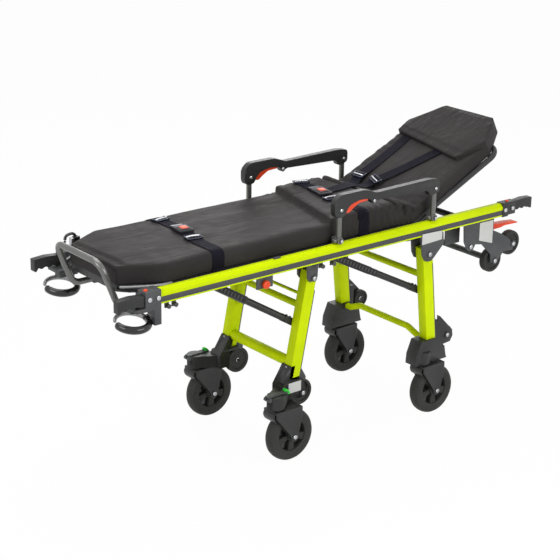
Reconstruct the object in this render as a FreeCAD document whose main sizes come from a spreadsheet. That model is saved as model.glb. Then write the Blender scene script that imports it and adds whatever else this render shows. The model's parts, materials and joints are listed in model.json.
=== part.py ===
"""Stretcher trolley: a wheeled bed frame on two pairs of folding legs.

X runs along the trolley to the head end, Y to the patient's left and Z up.
The origin lies on the floor under the middle of the trolley. All lengths are
millimetres and all angles are degrees.
"""

import FreeCAD, Part
import math
import os
import types

import Sketcher

Vector = FreeCAD.Vector
Rotation = FreeCAD.Rotation
Placement = FreeCAD.Placement

# ---------------------------------------------------------------- dimensions

DIMENSIONS = [
    # frame
    ("rail_top", 800, "height of the top of the side rails"),
    ("rail_height", 50, "height of a side rail"),
    ("rail_inside", 247, "middle plane to the inner face of a rail"),
    ("rail_width", 30, "width of a side rail"),
    ("rail_wall", 4, "inner wall of a rail"),
    ("rail_floor", 5, "floor of a rail"),
    ("rail_roof", 10, "roof of a rail"),
    ("rail_bevel", 12, "bevel along the top outer edge of a rail"),
    ("groove_depth", 3, "depth of the strip groove in a rail"),
    ("groove_lip", 6, "rail left below the strip groove"),
    ("groove_height", 19, "height of the strip groove"),
    ("groove_back", 5, "rail left behind the strip groove"),
    ("strip_proud", 0.6, "how far the strip stands out of the rail"),
    ("rail_foot_end", -835, "foot end of the rails"),
    ("rail_head_end", 825, "head end of the rails"),
    ("tube_radius", 12.5, "outer radius of a cross tube"),
    ("tube_wall", 2.5, "wall of a cross tube"),
    ("deck_low", 10, "top of the rails down to the underside of the deck"),
    ("deck_sheet", 5, "thickness of the deck panel"),
    ("deck_foot", -890, "foot end of the deck"),
    ("deck_head", 365, "head end of the deck"),
    ("deck_gap", 12, "gap between the deck and a rail"),
    ("deck_nose_half", 140, "half width of the deck at its foot end"),
    ("deck_taper", 140, "length of the tapered foot end of the deck"),
    ("deck_lip", 20, "depth of the lip under the foot end of the deck"),
    ("foot_tube_x", -794, "cross tube under the foot end"),
    ("deck_tube_foot_x", -300, "cross tube under the lower legs"),
    ("deck_tube_seat_x", 100, "cross tube under the seat"),
    ("rest_tube_x", 640, "cross tube that the flat backrest comes down to"),
    ("leg_tube_x", -102, "cross tube over the foot leg brackets"),
    # end castings and handles
    ("collar_foot_end", -870, "outer end of the foot collars"),
    ("collar_foot_start", -808, "inner end of the foot collars"),
    ("collar_head_start", 820, "inner end of the head collars"),
    ("collar_step", 850, "step in the head collars"),
    ("collar_head_end", 892, "outer end of the head collars"),
    ("collar_cover", 3, "collar outside the rail"),
    ("collar_under", 9, "collar below the rail"),
    ("collar_inner", 15, "collar inside the rail"),
    ("collar_thin", 1, "head collar round the rail past its step"),
    ("slab_reach", 34, "length of the slab past the foot collar"),
    ("slab_height", 13, "thickness of the slab below the foot collar"),
    ("slab_drop", 2, "top of the slab below the rail's underside"),
    ("post_side", 205, "middle plane to the release post"),
    ("post_width", 35, "width of the release post"),
    ("post_length", 38, "length of the release post"),
    ("post_drop", 90, "rail's underside down to the lower end of the release post"),
    ("post_start", -862, "inner face of the release post"),
    ("back_plate_drop", 70, "rail's underside down to the end of the plate behind the ring"),
    ("back_plate_length", 27, "length of that plate"),
    ("back_plate_full", 40, "rail's underside down to where that plate is thinned for the ring"),
    ("back_plate_thin", 21, "thickness of the thinned plate"),
    ("back_plate_thick", 44, "thickness of the full plate"),
    ("lever_pin_x", -820, "hinge of the release ring"),
    ("lever_pin_drop", 61, "rail's underside down to that hinge"),
    ("lever_pin_radius", 4, "radius of that hinge pin"),
    ("ring_x", -888, "middle of the release ring"),
    ("ring_side", 222, "middle plane to the middle of the release ring"),
    ("ring_radius", 62, "outer radius of the release ring"),
    ("ring_band", 13, "width of the band of the release ring"),
    ("ring_height", 23.5, "height of the release ring"),
    ("ring_mouth", 43, "half angle of the mouth of the release ring"),
    ("ring_turn", 141, "direction of the mouth of the release ring"),
    ("tab_half", 11.5, "half width of the tab of the release ring"),
    ("tab_eye", 9, "radius of the eye of the release ring"),
    ("grip_end", 988, "middle of the trolley to the ends of the grips"),
    ("grip_lift", 9, "underside of the head grips above the rail's underside"),
    ("grip_height", 46, "height of the head grips"),
    ("grip_gap", 0.5, "gap between a grip and its collar"),
    ("bar_gap", 0.3, "gap round a sliding bar"),
    ("bar_in_rail", 135, "length of a sliding bar inside the rail"),
    ("button_radius", 7, "radius of a release button"),
    ("button_tall", 10, "height of a release button"),
    ("button_proud", 5, "release button above its collar"),
    ("button_travel", 3, "travel of a release button"),
    ("button_gap", 0.1, "gap round a release button"),
    ("foot_button_x", -859, "foot release buttons"),
    ("head_button_x", 857, "head release buttons"),
    ("bolt_head_radius", 8, "radius of a bolt head"),
    ("bolt_head", 4, "height of a bolt head"),
    ("foot_bolt_set", 4, "foot button to the outer bolt of the foot collar"),
    ("collar_bolt_set", 12, "inner end of a collar to its inner bolt"),
    ("head_bolt_set", 18, "head button to the outer bolt of the head collar"),
    # push hoop
    ("hoop_radius", 11.5, "outer radius of the push hoop tube"),
    ("hoop_wall", 2, "wall of the push hoop tube"),
    ("hoop_side", 140, "middle plane to the arms of the push hoop"),
    ("hoop_root_x", -784, "inner ends of the push hoop"),
    ("hoop_drop", 80, "top of the rails down to the arms of the push hoop"),
    ("hoop_knee_x", -888, "knee of the push hoop"),
    ("hoop_top_x", -953, "top bar of the push hoop"),
    ("hoop_rise", 83, "top of the rails up to the top bar of the push hoop"),
    ("hoop_bend", 45, "bend radius of the push hoop"),
    ("hanger_half", 15, "half length of a hoop hanger"),
    ("hanger_thick", 24, "thickness of a hoop hanger"),
    ("hanger_below", 14, "hanger below the middle of the hoop tube"),
    # head legs
    ("head_pivot_x", 425, "pivot of the head legs"),
    ("head_pivot_z", 675, "height of that pivot"),
    ("head_lean", 6.6, "lean of the head legs towards the head"),
    ("head_leg_length", 400, "pivot to the lower end of a head leg tube"),
    ("head_leg_side", 250, "middle plane to the middle of a head leg"),
    ("leg_depth", 45, "depth of a leg tube"),
    ("leg_width", 40, "width of a leg tube"),
    ("leg_wall", 3, "wall of a leg tube"),
    ("leg_over", 23, "leg tube above its pivot"),
    ("leg_gap", 5, "gap between a leg and the plates of its bracket"),
    ("bracket_sheet", 6, "thickness of a bracket plate"),
    ("head_bracket_length", 120, "length of a head leg bracket"),
    ("head_bracket_foot", 46, "head leg bracket on the foot side of the pivot"),
    ("head_bracket_below", 29, "head leg bracket below the pivot"),
    ("foot_bracket_length", 54, "length of a foot leg bracket"),
    ("foot_bracket_foot", 32, "foot leg bracket on the foot side of the pivot"),
    ("foot_bracket_below", 12, "foot leg bracket below the pivot"),
    ("pivot_radius", 8, "radius of a leg pivot pin"),
    ("pin_fit", 0.05, "radial running clearance of the pins"),
    ("web", 5, "thickness of a bracket web"),
    ("head_upper_tube", 99, "pivot to the upper cross tube of the head legs"),
    ("head_lower_tube", 372, "pivot to the lower cross tube of the head legs"),
    ("arch_rise", 25, "rise of the arched cross tube"),
    ("arch_shoulder", 90, "leg to the raised part of the arched cross tube"),
    ("edge_strip", 15, "thickness of the dark strip on a head leg"),
    ("edge_strip_start", 40, "pivot to the upper end of that strip"),
    ("edge_strip_end", 268, "pivot to the lower end of that strip"),
    # foot legs
    ("foot_pivot_x", -97, "pivot of the foot legs"),
    ("foot_pivot_z", 673, "height of that pivot"),
    ("foot_lean", 11.1, "lean of the foot legs towards the foot"),
    ("foot_leg_length", 390, "pivot to the lower end of a foot leg tube"),
    ("foot_leg_side", 190, "middle plane to the middle of a foot leg"),
    ("foot_upper_tube", 116, "pivot to the upper cross tube of the foot legs"),
    ("foot_lower_tube", 334, "pivot to the lower cross tube of the foot legs"),
    ("foot_lower_radius", 20, "radius of the lower cross tube of the foot legs"),
    ("thin_rod_drop", 75, "pivot to the thin rod between the legs"),
    ("thin_rod_radius", 6, "radius of that rod"),
    # braces
    ("brace_foot_x", -582, "anchor of the foot braces"),
    ("brace_head_x", -55, "anchor of the head braces"),
    ("foot_brace_side", 150, "middle plane to a foot brace"),
    ("head_brace_side", 210, "middle plane to a head brace"),
    ("foot_brace_drop", 188, "foot leg pivot to the lower end of its brace"),
    ("head_brace_drop", 170, "head leg pivot to the lower end of its brace"),
    ("foot_fold", 60, "fold of the foot legs"),
    ("head_fold", 80, "fold of the head legs"),
    ("brace_radius", 15, "outer radius of a brace tube"),
    ("brace_bore", 13, "bore of a brace tube"),
    ("eye_wall", 6, "wall of the eye of a brace"),
    ("eye_half", 18, "half width of the eye of a brace"),
    ("eye_start", 16, "anchor to the brace tube"),
    ("brace_spare", 75, "brace tube kept clear of the folded lower end"),
    ("rod_gap", 0.1, "radial clearance of a brace rod"),
    ("rod_stop", 24, "anchor to the folded end of the rod"),
    ("brace_collar", 55, "length of the collar at the foot of a brace rod"),
    ("brace_collar_half", 14, "half height of that collar"),
    ("brace_seat", 0.3, "gap between a brace and the leg beside it"),
    ("nub_radius", 4, "radius of the nubs on a brace collar"),
    ("nub_tall", 3, "height of the nubs on a brace collar"),
    # casters
    ("wheel_radius", 100, "radius of a caster wheel"),
    ("tyre_width", 44, "width of a caster wheel"),
    ("hub_width", 50, "length of a caster hub"),
    ("hub_radius", 20, "radius of a caster hub"),
    ("hub_recess", 12, "depth of the recess in the side of a caster wheel"),
    ("rim_radius", 70, "radius of that recess"),
    ("window_count", 5, "number of windows in a caster wheel"),
    ("window_radius", 13, "radius of those windows"),
    ("window_place", 47, "axle to the middle of those windows"),
    ("axle_radius", 6, "radius of a wheel axle"),
    ("fork_sheet", 6, "thickness of a fork plate"),
    ("fork_gap", 3, "gap between the hub and the fork"),
    ("fork_half", 24, "half length of a fork plate at its top"),
    ("fork_eye", 18, "radius of a fork plate round the axle"),
    ("fork_top", 213, "height of the top of the forks"),
    ("foot_trail", 64, "trail of the foot casters"),
    ("head_trail", 55, "trail of the head casters"),
    ("foot_swivel_x", -287, "swivel axis of the foot casters"),
    ("foot_swivel_side", 246, "middle plane to that axis"),
    ("head_swivel_x", 436, "swivel axis of the head casters"),
    ("head_swivel_side", 257, "middle plane to that axis"),
    ("swivel_race", 25, "radius of the swivel race"),
    ("swivel_lift", 9, "height of the swivel race"),
    ("swivel_gap", 0.3, "gap above the swivel race"),
    ("stem_radius", 8, "radius of a swivel stem"),
    ("stem_height", 40, "height of a swivel stem above the race"),
    # leg castings
    ("housing_radius", 33, "radius of a swivel housing"),
    ("housing_height", 48, "height of a swivel housing"),
    ("arm_top", 344, "height of the top of the foot caster arm on the leg"),
    ("arm_length", 62, "length of the foot caster arm's root"),
    ("arm_width", 60, "width of the foot caster arm"),
    ("arm_cup", 8, "lower end of a foot leg in the caster arm"),
    ("arm_open", 6, "clamp of the caster arm short of the leg's centre line"),
    ("shoe_top", 318, "height of the top of the head leg shoe"),
    ("shoe_width", 58, "width of the head leg shoe"),
    ("shoe_length", 166, "length of the head leg shoe"),
    ("shoe_back", 54, "shoe on the foot side of the swivel axis"),
    ("shoe_wall", 5, "shoe round the leg tube"),
    ("foot_guide_x", -131, "foot guide wheels"),
    ("foot_guide_z", 228, "height of the foot guide wheels"),
    ("foot_guide_radius", 51, "radius of the foot guide wheels"),
    ("foot_guide_width", 28, "width of the foot guide wheels"),
    ("foot_guide_side", 191, "middle plane to the foot guide wheels"),
    ("head_guide_x", 557, "head guide wheels"),
    ("head_guide_z", 312, "height of the head guide wheels"),
    ("head_guide_radius", 36, "radius of the head guide wheels"),
    ("head_guide_width", 24, "width of the head guide wheels"),
    ("head_guide_side", 248, "middle plane to the head guide wheels"),
    ("guide_sheet", 5, "thickness of a guide plate"),
    ("guide_gap", 1.5, "gap between a guide wheel and its plate"),
    ("guide_boss", 14, "radius of the boss of a guide wheel"),
    ("pedal_pin_x", -334, "hinge of the brake pedals"),
    ("pedal_pin_z", 262, "height of that hinge"),
    ("pedal_radius", 5, "radius of that hinge pin"),
    ("pedal_width", 32, "width of a brake pedal"),
    ("pedal_eye", 8, "radius of the eye of a brake pedal"),
    ("pedal_ear", 4, "half width of the ear that carries a brake pedal"),
    ("pedal_gap", 0.5, "gap each side of that ear"),
    ("pedal_reach", 10, "tread of a brake pedal past its eye"),
    ("tab_reach", 66, "raised tab of a brake pedal past its hinge"),
    ("tab_lift", 8, "gap between the tab and the swivel housing"),
    ("tab_sheet", 8, "thickness of the raised tab"),
    # load wheels
    ("load_plate_side", 257, "middle plane to the inner face of a load plate"),
    ("load_sheet", 5, "thickness of a load plate"),
    ("load_front_set", 3, "head end of a load plate to the front load wheels"),
    ("load_front_up", 61, "lower edge of a load plate up to the front load wheels"),
    ("load_rear_set", 104, "head end of a load plate to the rear load wheels"),
    ("load_rear_up", 9, "lower edge of a load plate up to the rear load wheels"),
    ("load_radius", 50, "radius of a load wheel"),
    ("load_width", 28, "width of a load wheel"),
    ("load_gap", 5, "gap between a load wheel and its plate"),
    ("load_foot", 625, "foot end of a load plate"),
    ("load_length", 287, "length of a load plate"),
    ("load_bottom", 556, "lower edge of a load plate"),
    ("flange", 20, "width of the load plate's top flange"),
    ("grey_plate_side", 200, "middle plane to the grey plates"),
    ("grey_plate_low", 655, "lower edge of the grey plates"),
    ("grey_plate_before", 55, "grey plates on the foot side of their cross tube"),
    ("grey_plate_length", 80, "length of the grey plates"),
    # armrests
    ("arm_foot_x", -20, "foot posts of the armrests"),
    ("arm_head_x", 450, "head posts of the armrests"),
    ("arm_low_up", 13, "top of the rails up to the lower pivots of the armrests"),
    ("arm_post_length", 115, "lower pivots up to the upper pivots of the armrests"),
    ("post_centre", 262, "middle plane to the armrest posts"),
    ("arm_post_radius", 11, "radius of an armrest post"),
    ("post_boss", 12, "radius of the boss of an armrest post"),
    ("post_boss_half", 14, "half length of that boss"),
    ("lug_sheet", 7, "thickness of an armrest lug"),
    ("lug_half", 14, "half length of an armrest lug"),
    ("lug_drop", 25, "top of the rails down to the lower edge of an armrest lug"),
    ("arm_pin", 5, "radius of an armrest pivot pin"),
    ("arm_inside", 250, "middle plane to the inner face of an armrest"),
    ("arm_thick", 24, "thickness of an armrest"),
    ("strap_sheet", 5.7, "thickness of the flat top of an armrest post"),
    ("strap_half", 10, "half width of the flat top of an armrest post"),
    ("foot_post_short", 34, "upper pivot to the round part of a foot post"),
    ("head_post_short", 76, "upper pivot to the round part of a head post"),
    ("arm_crown", 57, "top of an armrest above its upper pivots"),
    ("arm_under", 26, "underside of an armrest below its upper pivots"),
    ("arm_past_foot", 31, "armrest past its foot pivot"),
    ("arm_past_head", 19, "armrest past its head pivot"),
    ("arm_bolt_along", 158, "foot pivot to the middle bolt of an armrest"),
    ("arm_bolt_up", 11, "upper pivots to the middle bolt of an armrest"),
    ("trigger_along", 116, "foot pivot to the hinge of the armrest trigger"),
    ("trigger_up", 10, "upper pivots to the hinge of the armrest trigger"),
    ("trigger_reach", 80, "trigger on the foot side of its hinge"),
    ("trigger_length", 88, "length of the trigger"),
    ("trigger_drop", 26, "trigger below its hinge"),
    ("trigger_tall", 34, "height of the trigger"),
    ("trigger_clear", 4, "room round the trigger in its slot"),
    ("trigger_roof", 10, "roof of that slot above the hinge"),
    ("trigger_ear", 10, "half length of the ears at the trigger's hinge"),
    ("trigger_ear_low", 8, "those ears below the hinge"),
    ("trigger_ear_high", 16, "those ears above the hinge"),
    ("trigger_eye", 7, "radius of the eye of the trigger"),
    ("trigger_pin", 3, "radius of that hinge pin"),
    ("trigger_slot", 16, "width of the slot for the trigger"),
    ("trigger_gap", 0.5, "gap each side of the trigger"),
    # backrest
    ("hinge_x", 392, "hinge of the backrest"),
    ("rest_angle", 25.2, "raise of the backrest"),
    ("rest_tube", 11, "outer radius of the backrest frame tube"),
    ("rest_wall", 2, "wall of the backrest frame tube"),
    ("rest_side", 220, "middle plane to the sides of the backrest frame"),
    ("rest_length", 510, "hinge to the top bar of the backrest frame"),
    ("rest_bend", 70, "bend radius of the backrest frame"),
    ("sleeve_radius", 17, "outer radius of a hinge sleeve"),
    ("sleeve_width", 24, "width of a hinge sleeve"),
    ("rest_sheet", 3, "thickness of the backrest panel"),
    ("soft_gap", 0.3, "gap under the soft parts"),
    ("pad_thick", 42, "thickness of the backrest pad"),
    ("pad_start", 10, "hinge to the lower edge of the pad's underside"),
    ("pad_slant", 35, "slant of the lower edge of the pad"),
    ("pad_length", 590, "hinge to the top edge of the pad"),
    ("pad_half", 225, "half width of the pad"),
    ("pad_neck", 447, "hinge to where the pad narrows"),
    ("pad_neck_half", 214, "half width of the pad there"),
    ("pad_top_half", 128, "half width of the top of the pad"),
    ("pillow_start", 345, "hinge to the pillow"),
    ("pillow_half", 185, "half width of the pillow's lower edge"),
    ("pillow_thick", 22, "thickness of the pillow"),
    # mattress and belts
    ("mattress_foot", -896, "foot end of the mattress"),
    ("mattress_foot_half", 144, "half width of the foot end of the mattress"),
    ("mattress_wide_x", -746, "where the mattress reaches its full width"),
    ("mattress_half", 225, "half width of the mattress"),
    ("mattress_thick", 67, "thickness of the mattress under the legs"),
    ("seat_thick", 90, "thickness of the mattress under the seat"),
    ("seat_x", 20, "step between the two thicknesses"),
    ("mattress_head", 365, "head end of the mattress"),
    ("mattress_slant", 20, "slant of the head end of the mattress"),
    ("belt_width", 50, "width of the belts"),
    ("belt_thick", 2.5, "thickness of the belts"),
    ("belt_gap", 0.5, "gap under the belts"),
    ("leg_belt_x", -510, "middle of the leg belt"),
    ("lap_belt_x", 150, "middle of the lap belt"),
    ("belt_drop", 22, "top of the rails down to the lower ends of the belts"),
    ("belt_anchor", 8, "height of a belt anchor"),
    ("buckle_length", 62, "length of a buckle"),
    ("buckle_width", 56, "width of a buckle"),
    ("buckle_tall", 14, "height of a buckle"),
    ("shoulder_side", 78, "middle plane to a shoulder belt"),
    ("shoulder_start", 70, "hinge to the lower end of a shoulder belt"),
    # small fittings
    ("knob_x", -351, "red knob"),
    ("knob_drop", 35, "rail's underside down to the red knob"),
    ("knob_radius", 15, "radius of the red knob"),
    ("knob_shaft", 4, "radius of the red knob's shaft"),
    ("knob_thick", 14, "thickness of the red knob"),
    ("knob_travel", 8, "travel of the red knob"),
    ("knob_plate_side", 250, "middle plane to the knob's plate"),
    ("knob_plate_half", 36, "half length of the knob's plate"),
    ("small_knob_radius", 8, "radius of the small clamp knobs"),
    ("small_knob_drop", 22, "rail's underside down to those knobs"),
    ("seat_knob_x", -91, "first clamp knob under the seat"),
    ("seat_knob_pitch", 53, "that knob to the next"),
    ("foot_knob_x", -766, "first clamp knob at the foot end"),
    ("foot_knob_pitch", 29, "that knob to the next"),
    ("loop_foot_set", 37.5, "foot end of the rails to the foot of the wire loop"),
    ("loop_foot_length", 12.5, "length of the foot of the wire loop"),
    ("loop_foot_half", 8, "half width of the foot of the wire loop"),
    ("loop_height", 62, "height of the wire loop above the rail"),
    ("loop_drop", 40, "length of the free end of the wire loop"),
    ("loop_back", 3, "wire loop past the foot end of the rails"),
    ("latch_set", 50, "red knob to the small latch on the rail"),
    ("latch_half", 14, "half length of that latch"),
    ("latch_tall", 6, "height of that latch"),
    ("red_lever_before", 34, "inner end of the head collars to the hinge of the red lever"),
    ("red_lever_drop", 51, "rail's underside down to that hinge"),
    ("red_lever_pin", 4, "radius of that hinge pin"),
    ("red_lever_side", 205, "middle plane to the inner end of that pin"),
    ("red_lever_gap", 2, "inner end of that pin to the red lever"),
    ("red_lever_length", 165, "length of the red lever"),
    ("red_lever_width", 34, "width of the red lever"),
    ("cut_over", 2, "how far a cutter runs past what it cuts"),
]


class Size:
    """A length or angle together with the formula that works it out."""

    def __init__(self, value, formula):
        self.value = float(value)
        self.formula = formula

    def __add__(self, other):
        other = sized(other)
        return Size(self.value + other.value, f"({self.formula} + {other.formula})")

    def __sub__(self, other):
        other = sized(other)
        return Size(self.value - other.value, f"({self.formula} - {other.formula})")

    def __mul__(self, other):
        other = sized(other)
        return Size(self.value * other.value, f"({self.formula} * {other.formula})")

    def __truediv__(self, other):
        other = sized(other)
        return Size(self.value / other.value, f"({self.formula} / {other.formula})")

    def __neg__(self):
        return Size(-self.value, f"(0 - {self.formula})")

    __radd__ = __add__
    __rmul__ = __mul__

    def __rsub__(self, other):
        return sized(other) - self


def sized(number):
    """Gives a plain number the same form as a named size."""
    if isinstance(number, Size):
        return number
    return Size(number, f"({number})")


def cosine(angle):
    return Size(math.cos(math.radians(angle.value)), f"cos({angle.formula})")


def sine(angle):
    return Size(math.sin(math.radians(angle.value)), f"sin({angle.formula})")


def root(number):
    return Size(math.sqrt(number.value), f"sqrt({number.formula})")


def slope(rise, run):
    """The angle of a line that rises by rise over run."""
    return Size(math.degrees(math.atan2(rise.value, run.value)),
                f"atan2({rise.formula}; {run.formula})")


doc = FreeCAD.newDocument("StretcherTrolley")
sheet = doc.addObject("Spreadsheet::Sheet", "Sizes")
for row, (alias, number, note) in enumerate(DIMENSIONS, start=1):
    sheet.set(f"A{row}", note)
    sheet.set(f"B{row}", str(number))
    sheet.setAlias(f"B{row}", alias)
doc.recompute()
S = types.SimpleNamespace(
    **{alias: Size(number, f"Sizes.{alias}") for alias, number, note in DIMENSIONS})

# ------------------------------------------------------------------- helpers

ALONG_X = Rotation(Vector(0, 1, 0), 90)
ALONG_Y = Rotation(Vector(1, 0, 0), -90)
ALONG_Z = Rotation()
PLANES = {"side": "XZ_Plane", "front": "YZ_Plane", "top": "XY_Plane"}
NODES = []


def bind(item, field, size):
    item.setExpression(field, sized(size).formula)


def place(item, x, y, z, rotation=ALONG_Z):
    """Puts an object at a place that follows the sheet."""
    spot = [sized(value) for value in (x, y, z)]
    item.Placement = Placement(Vector(*[size.value for size in spot]), rotation)
    for letter, size in zip("xyz", spot):
        bind(item, f"Placement.Base.{letter}", size)
    return item


def tilt(item, x, z, angle):
    """Stands an assembly on its pivot and turns it about the Y axis."""
    place(item, x, 0, z, Rotation(Vector(0, 1, 0), sized(angle).value))
    bind(item, "Placement.Rotation.Angle", angle)
    return item


def box(x, y, z):
    """A block between two places on each axis."""
    block = doc.addObject("Part::Box", "Block")
    for field, (low, high) in zip(("Length", "Width", "Height"), (x, y, z)):
        bind(block, field, sized(high) - low)
    return place(block, x[0], y[0], z[0])


def rod(along, centre, span, radius):
    """A round bar; centre gives its place on the two other axes, in order."""
    bar = doc.addObject("Part::Cylinder", "Bar")
    bind(bar, "Radius", radius)
    bind(bar, "Height", sized(span[1]) - span[0])
    first, second = centre
    if along == "x":
        return place(bar, span[0], first, second, ALONG_X)
    if along == "y":
        return place(bar, first, span[0], second, ALONG_Y)
    return place(bar, first, second, span[0], ALONG_Z)


def fuse(*items):
    joined = doc.addObject("Part::MultiFuse", "Joined")
    joined.Shapes = list(items)
    return joined


def cut(base, *tools):
    trimmed = doc.addObject("Part::Cut", "Trimmed")
    trimmed.Base = base
    trimmed.Tool = tools[0] if len(tools) == 1 else fuse(*tools)
    return trimmed


def common(first, second):
    shared = doc.addObject("Part::MultiCommon", "Shared")
    shared.Shapes = [first, second]
    return shared


def tube(along, centre, span, radius, bore):
    over = (sized(span[0]) - S.cut_over, sized(span[1]) + S.cut_over)
    return cut(rod(along, centre, span, radius), rod(along, centre, over, bore))


def mirror(item):
    other = doc.addObject("Part::Mirroring", "Mirrored")
    other.Source = item
    other.Normal = Vector(0, 1, 0)
    return other


def both_sides(*items):
    return list(items) + [mirror(item) for item in items]


def node(label, *items):
    """One named piece, or one group of like pieces, of the trolley."""
    group = doc.addObject("Part::Compound", label)
    group.Label = label
    group.Links = list(items)
    NODES.append(group)
    return group


def find_edges(shape, plane, corner):
    """Names the straight edges that run square to the sketch at one corner."""
    names = []
    for count, edge in enumerate(shape.Edges, start=1):
        ends = [vertex.Point for vertex in edge.Vertexes]
        if len(ends) == 2 and all(math.dist(flat(plane, end), corner) < 1e-4 for end in ends):
            names.append(f"Edge{count}")
    return names


def flat(plane, point):
    """The two sketch coordinates of a point."""
    return {"side": (point.x, point.z), "front": (point.y, point.z),
            "top": (point.x, point.y)}[plane]


def prism(plane, span, outline, rounds=None):
    """A sketch on one of the body's own planes, padded between two places.

    rounds gives a radius for the corners that are rounded, by their number.
    """
    outline = [(sized(first), sized(second)) for first, second in outline]
    body = doc.addObject("PartDesign::Body", "Body")
    sketch = body.newObject("Sketcher::SketchObject", "Outline")
    base = next(item for item in body.Origin.OriginFeatures if item.Role == PLANES[plane])
    sketch.AttachmentSupport = [(base, "")]
    sketch.MapMode = "FlatFace"
    offset = -sized(span[1]) if plane == "side" else sized(span[0])
    sketch.AttachmentOffset = Placement(Vector(0, 0, offset.value), Rotation())
    bind(sketch, "AttachmentOffset.Base.z", offset)
    last = len(outline)
    for number, (first, second) in enumerate(outline):
        end = outline[(number + 1) % last]
        sketch.addGeometry(Part.LineSegment(Vector(first.value, second.value, 0),
                                            Vector(end[0].value, end[1].value, 0)), False)
    for number in range(last):
        sketch.addConstraint(Sketcher.Constraint(
            "Coincident", number, 2, (number + 1) % last, 1))
    for number, corner in enumerate(outline):
        for kind, size in zip(("DistanceX", "DistanceY"), corner):
            index = sketch.addConstraint(Sketcher.Constraint(kind, -1, 1, number, 1, size.value))
            sketch.setExpression(f"Constraints[{index}]", size.formula)
    pad = body.newObject("PartDesign::Pad", "Pad")
    pad.Profile = sketch
    bind(pad, "Length", sized(span[1]) - span[0])
    doc.recompute([body, sketch, pad])
    feature = pad
    for number, radius in (rounds or {}).items():
        corner = tuple(size.value for size in outline[number])
        names = find_edges(feature.Shape, plane, corner)
        rounded = body.newObject("PartDesign::Fillet", "Rounding")
        rounded.Base = (feature, names)
        bind(rounded, "Radius", radius)
        doc.recompute([rounded])
        feature = rounded
    return body


def form(corner, size, shape):
    """An outline whose points are shares of one named length and height."""
    return [(corner[0] + size[0] * across, corner[1] + size[1] * up) for across, up in shape]


def bent_path(points, bend):
    """Straight runs joined by tangent arcs of one radius."""
    runs = []
    start = points[0]
    for before, point, after in zip(points, points[1:], points[2:]):
        back = (before - point).normalize()
        ahead = (after - point).normalize()
        half = math.pi / 2 - back.getAngle(ahead) / 2
        reach = bend * math.tan(half)
        middle = (back + ahead).normalize()
        touch = point + back * reach
        leave = point + ahead * reach
        top = point + middle * (bend / math.cos(half) - bend)
        runs.append(Part.LineSegment(start, touch).toShape())
        runs.append(Part.Arc(touch, top, leave).toShape())
        start = leave
    runs.append(Part.LineSegment(start, points[-1]).toShape())
    return Part.Wire(runs)


def bent_tube(points, bend, radius, wall):
    """A bent round tube along points whose places are read from the sheet."""
    points = [Vector(*[sized(value).value for value in point]) for point in points]
    path = bent_path(points, bend.value)
    ahead = points[1] - points[0]
    solids = []
    for size in (radius.value, radius.value - wall.value):
        ring = Part.Wire([Part.makeCircle(size, points[0], ahead)])
        solids.append(path.makePipeShell([ring], True, False))
    pipe = doc.addObject("Part::Feature", "BentTube")
    pipe.Shape = solids[0].cut(solids[1])
    return pipe


def bolt(x, z, face, radius=S.bolt_head_radius, tall=S.bolt_head):
    """A round bolt head on a face that looks outwards."""
    return rod("y", (x, z), (face, face + tall), radius)


# -------------------------------------------------------------- shared places

rail_bottom = S.rail_top - S.rail_height
rail_outside = S.rail_inside + S.rail_width
groove_floor = rail_outside - S.groove_depth
groove_low = rail_bottom + S.groove_lip
groove_high = groove_low + S.groove_height
bore_low = rail_bottom + S.rail_floor
bore_high = S.rail_top - S.rail_roof
bore_in = S.rail_inside + S.rail_wall
bore_out = groove_floor - S.groove_back
deck_bottom = S.rail_top - S.deck_low
deck_top = deck_bottom + S.deck_sheet
deck_half = S.rail_inside - S.deck_gap
deck_tube_z = deck_bottom - S.tube_radius
low_tube_z = rail_bottom + S.tube_radius
hinge_z = S.rail_top - S.tube_radius
collar_out = rail_outside + S.collar_cover
collar_in = S.rail_inside - S.collar_inner
collar_low = rail_bottom - S.collar_under
collar_high = S.rail_top + S.collar_cover
leg_half = S.leg_width / 2
depth_half = S.leg_depth / 2
pin_bore = S.pivot_radius + S.pin_fit
axle_bore = S.axle_radius + S.pin_fit
red_lever_x = S.collar_head_start - S.red_lever_before
post_bottom = rail_bottom - S.post_drop
back_plate_bottom = rail_bottom - S.back_plate_drop
back_plate_clear = rail_bottom - S.back_plate_full
lever_pin_z = rail_bottom - S.lever_pin_drop
hoop_low = S.rail_top - S.hoop_drop
hoop_top = S.rail_top + S.hoop_rise
arm_low_z = S.rail_top + S.arm_low_up
arm_high_z = arm_low_z + S.arm_post_length
lug_low = S.rail_top - S.lug_drop
belt_low = S.rail_top - S.belt_drop
knob_z = rail_bottom - S.knob_drop
red_lever_z = rail_bottom - S.red_lever_drop
load_end = S.load_foot + S.load_length
load_front_x = load_end - S.load_front_set
load_front_z = S.load_bottom + S.load_front_up
load_rear_x = load_end - S.load_rear_set
load_rear_z = S.load_bottom + S.load_rear_up
trigger_x = S.arm_foot_x + S.trigger_along
trigger_z = arm_high_z + S.trigger_up


def leg_point(pivot_x, pivot_z, lean, down):
    """The place on a leaning leg's centre line at a distance below its pivot."""
    return pivot_x - down * sine(lean), pivot_z - down * cosine(lean)


# --------------------------------------------------------------------- frame

def rail_outline():
    return [(S.rail_inside, rail_bottom), (rail_outside, rail_bottom),
            (rail_outside, groove_low), (groove_floor, groove_low),
            (groove_floor, groove_high), (rail_outside, groove_high),
            (rail_outside, S.rail_top - S.rail_bevel),
            (rail_outside - S.rail_bevel, S.rail_top), (S.rail_inside, S.rail_top)]


def rail_bore(start, end):
    return box((start, end), (bore_in, bore_out), (bore_low, bore_high))


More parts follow.
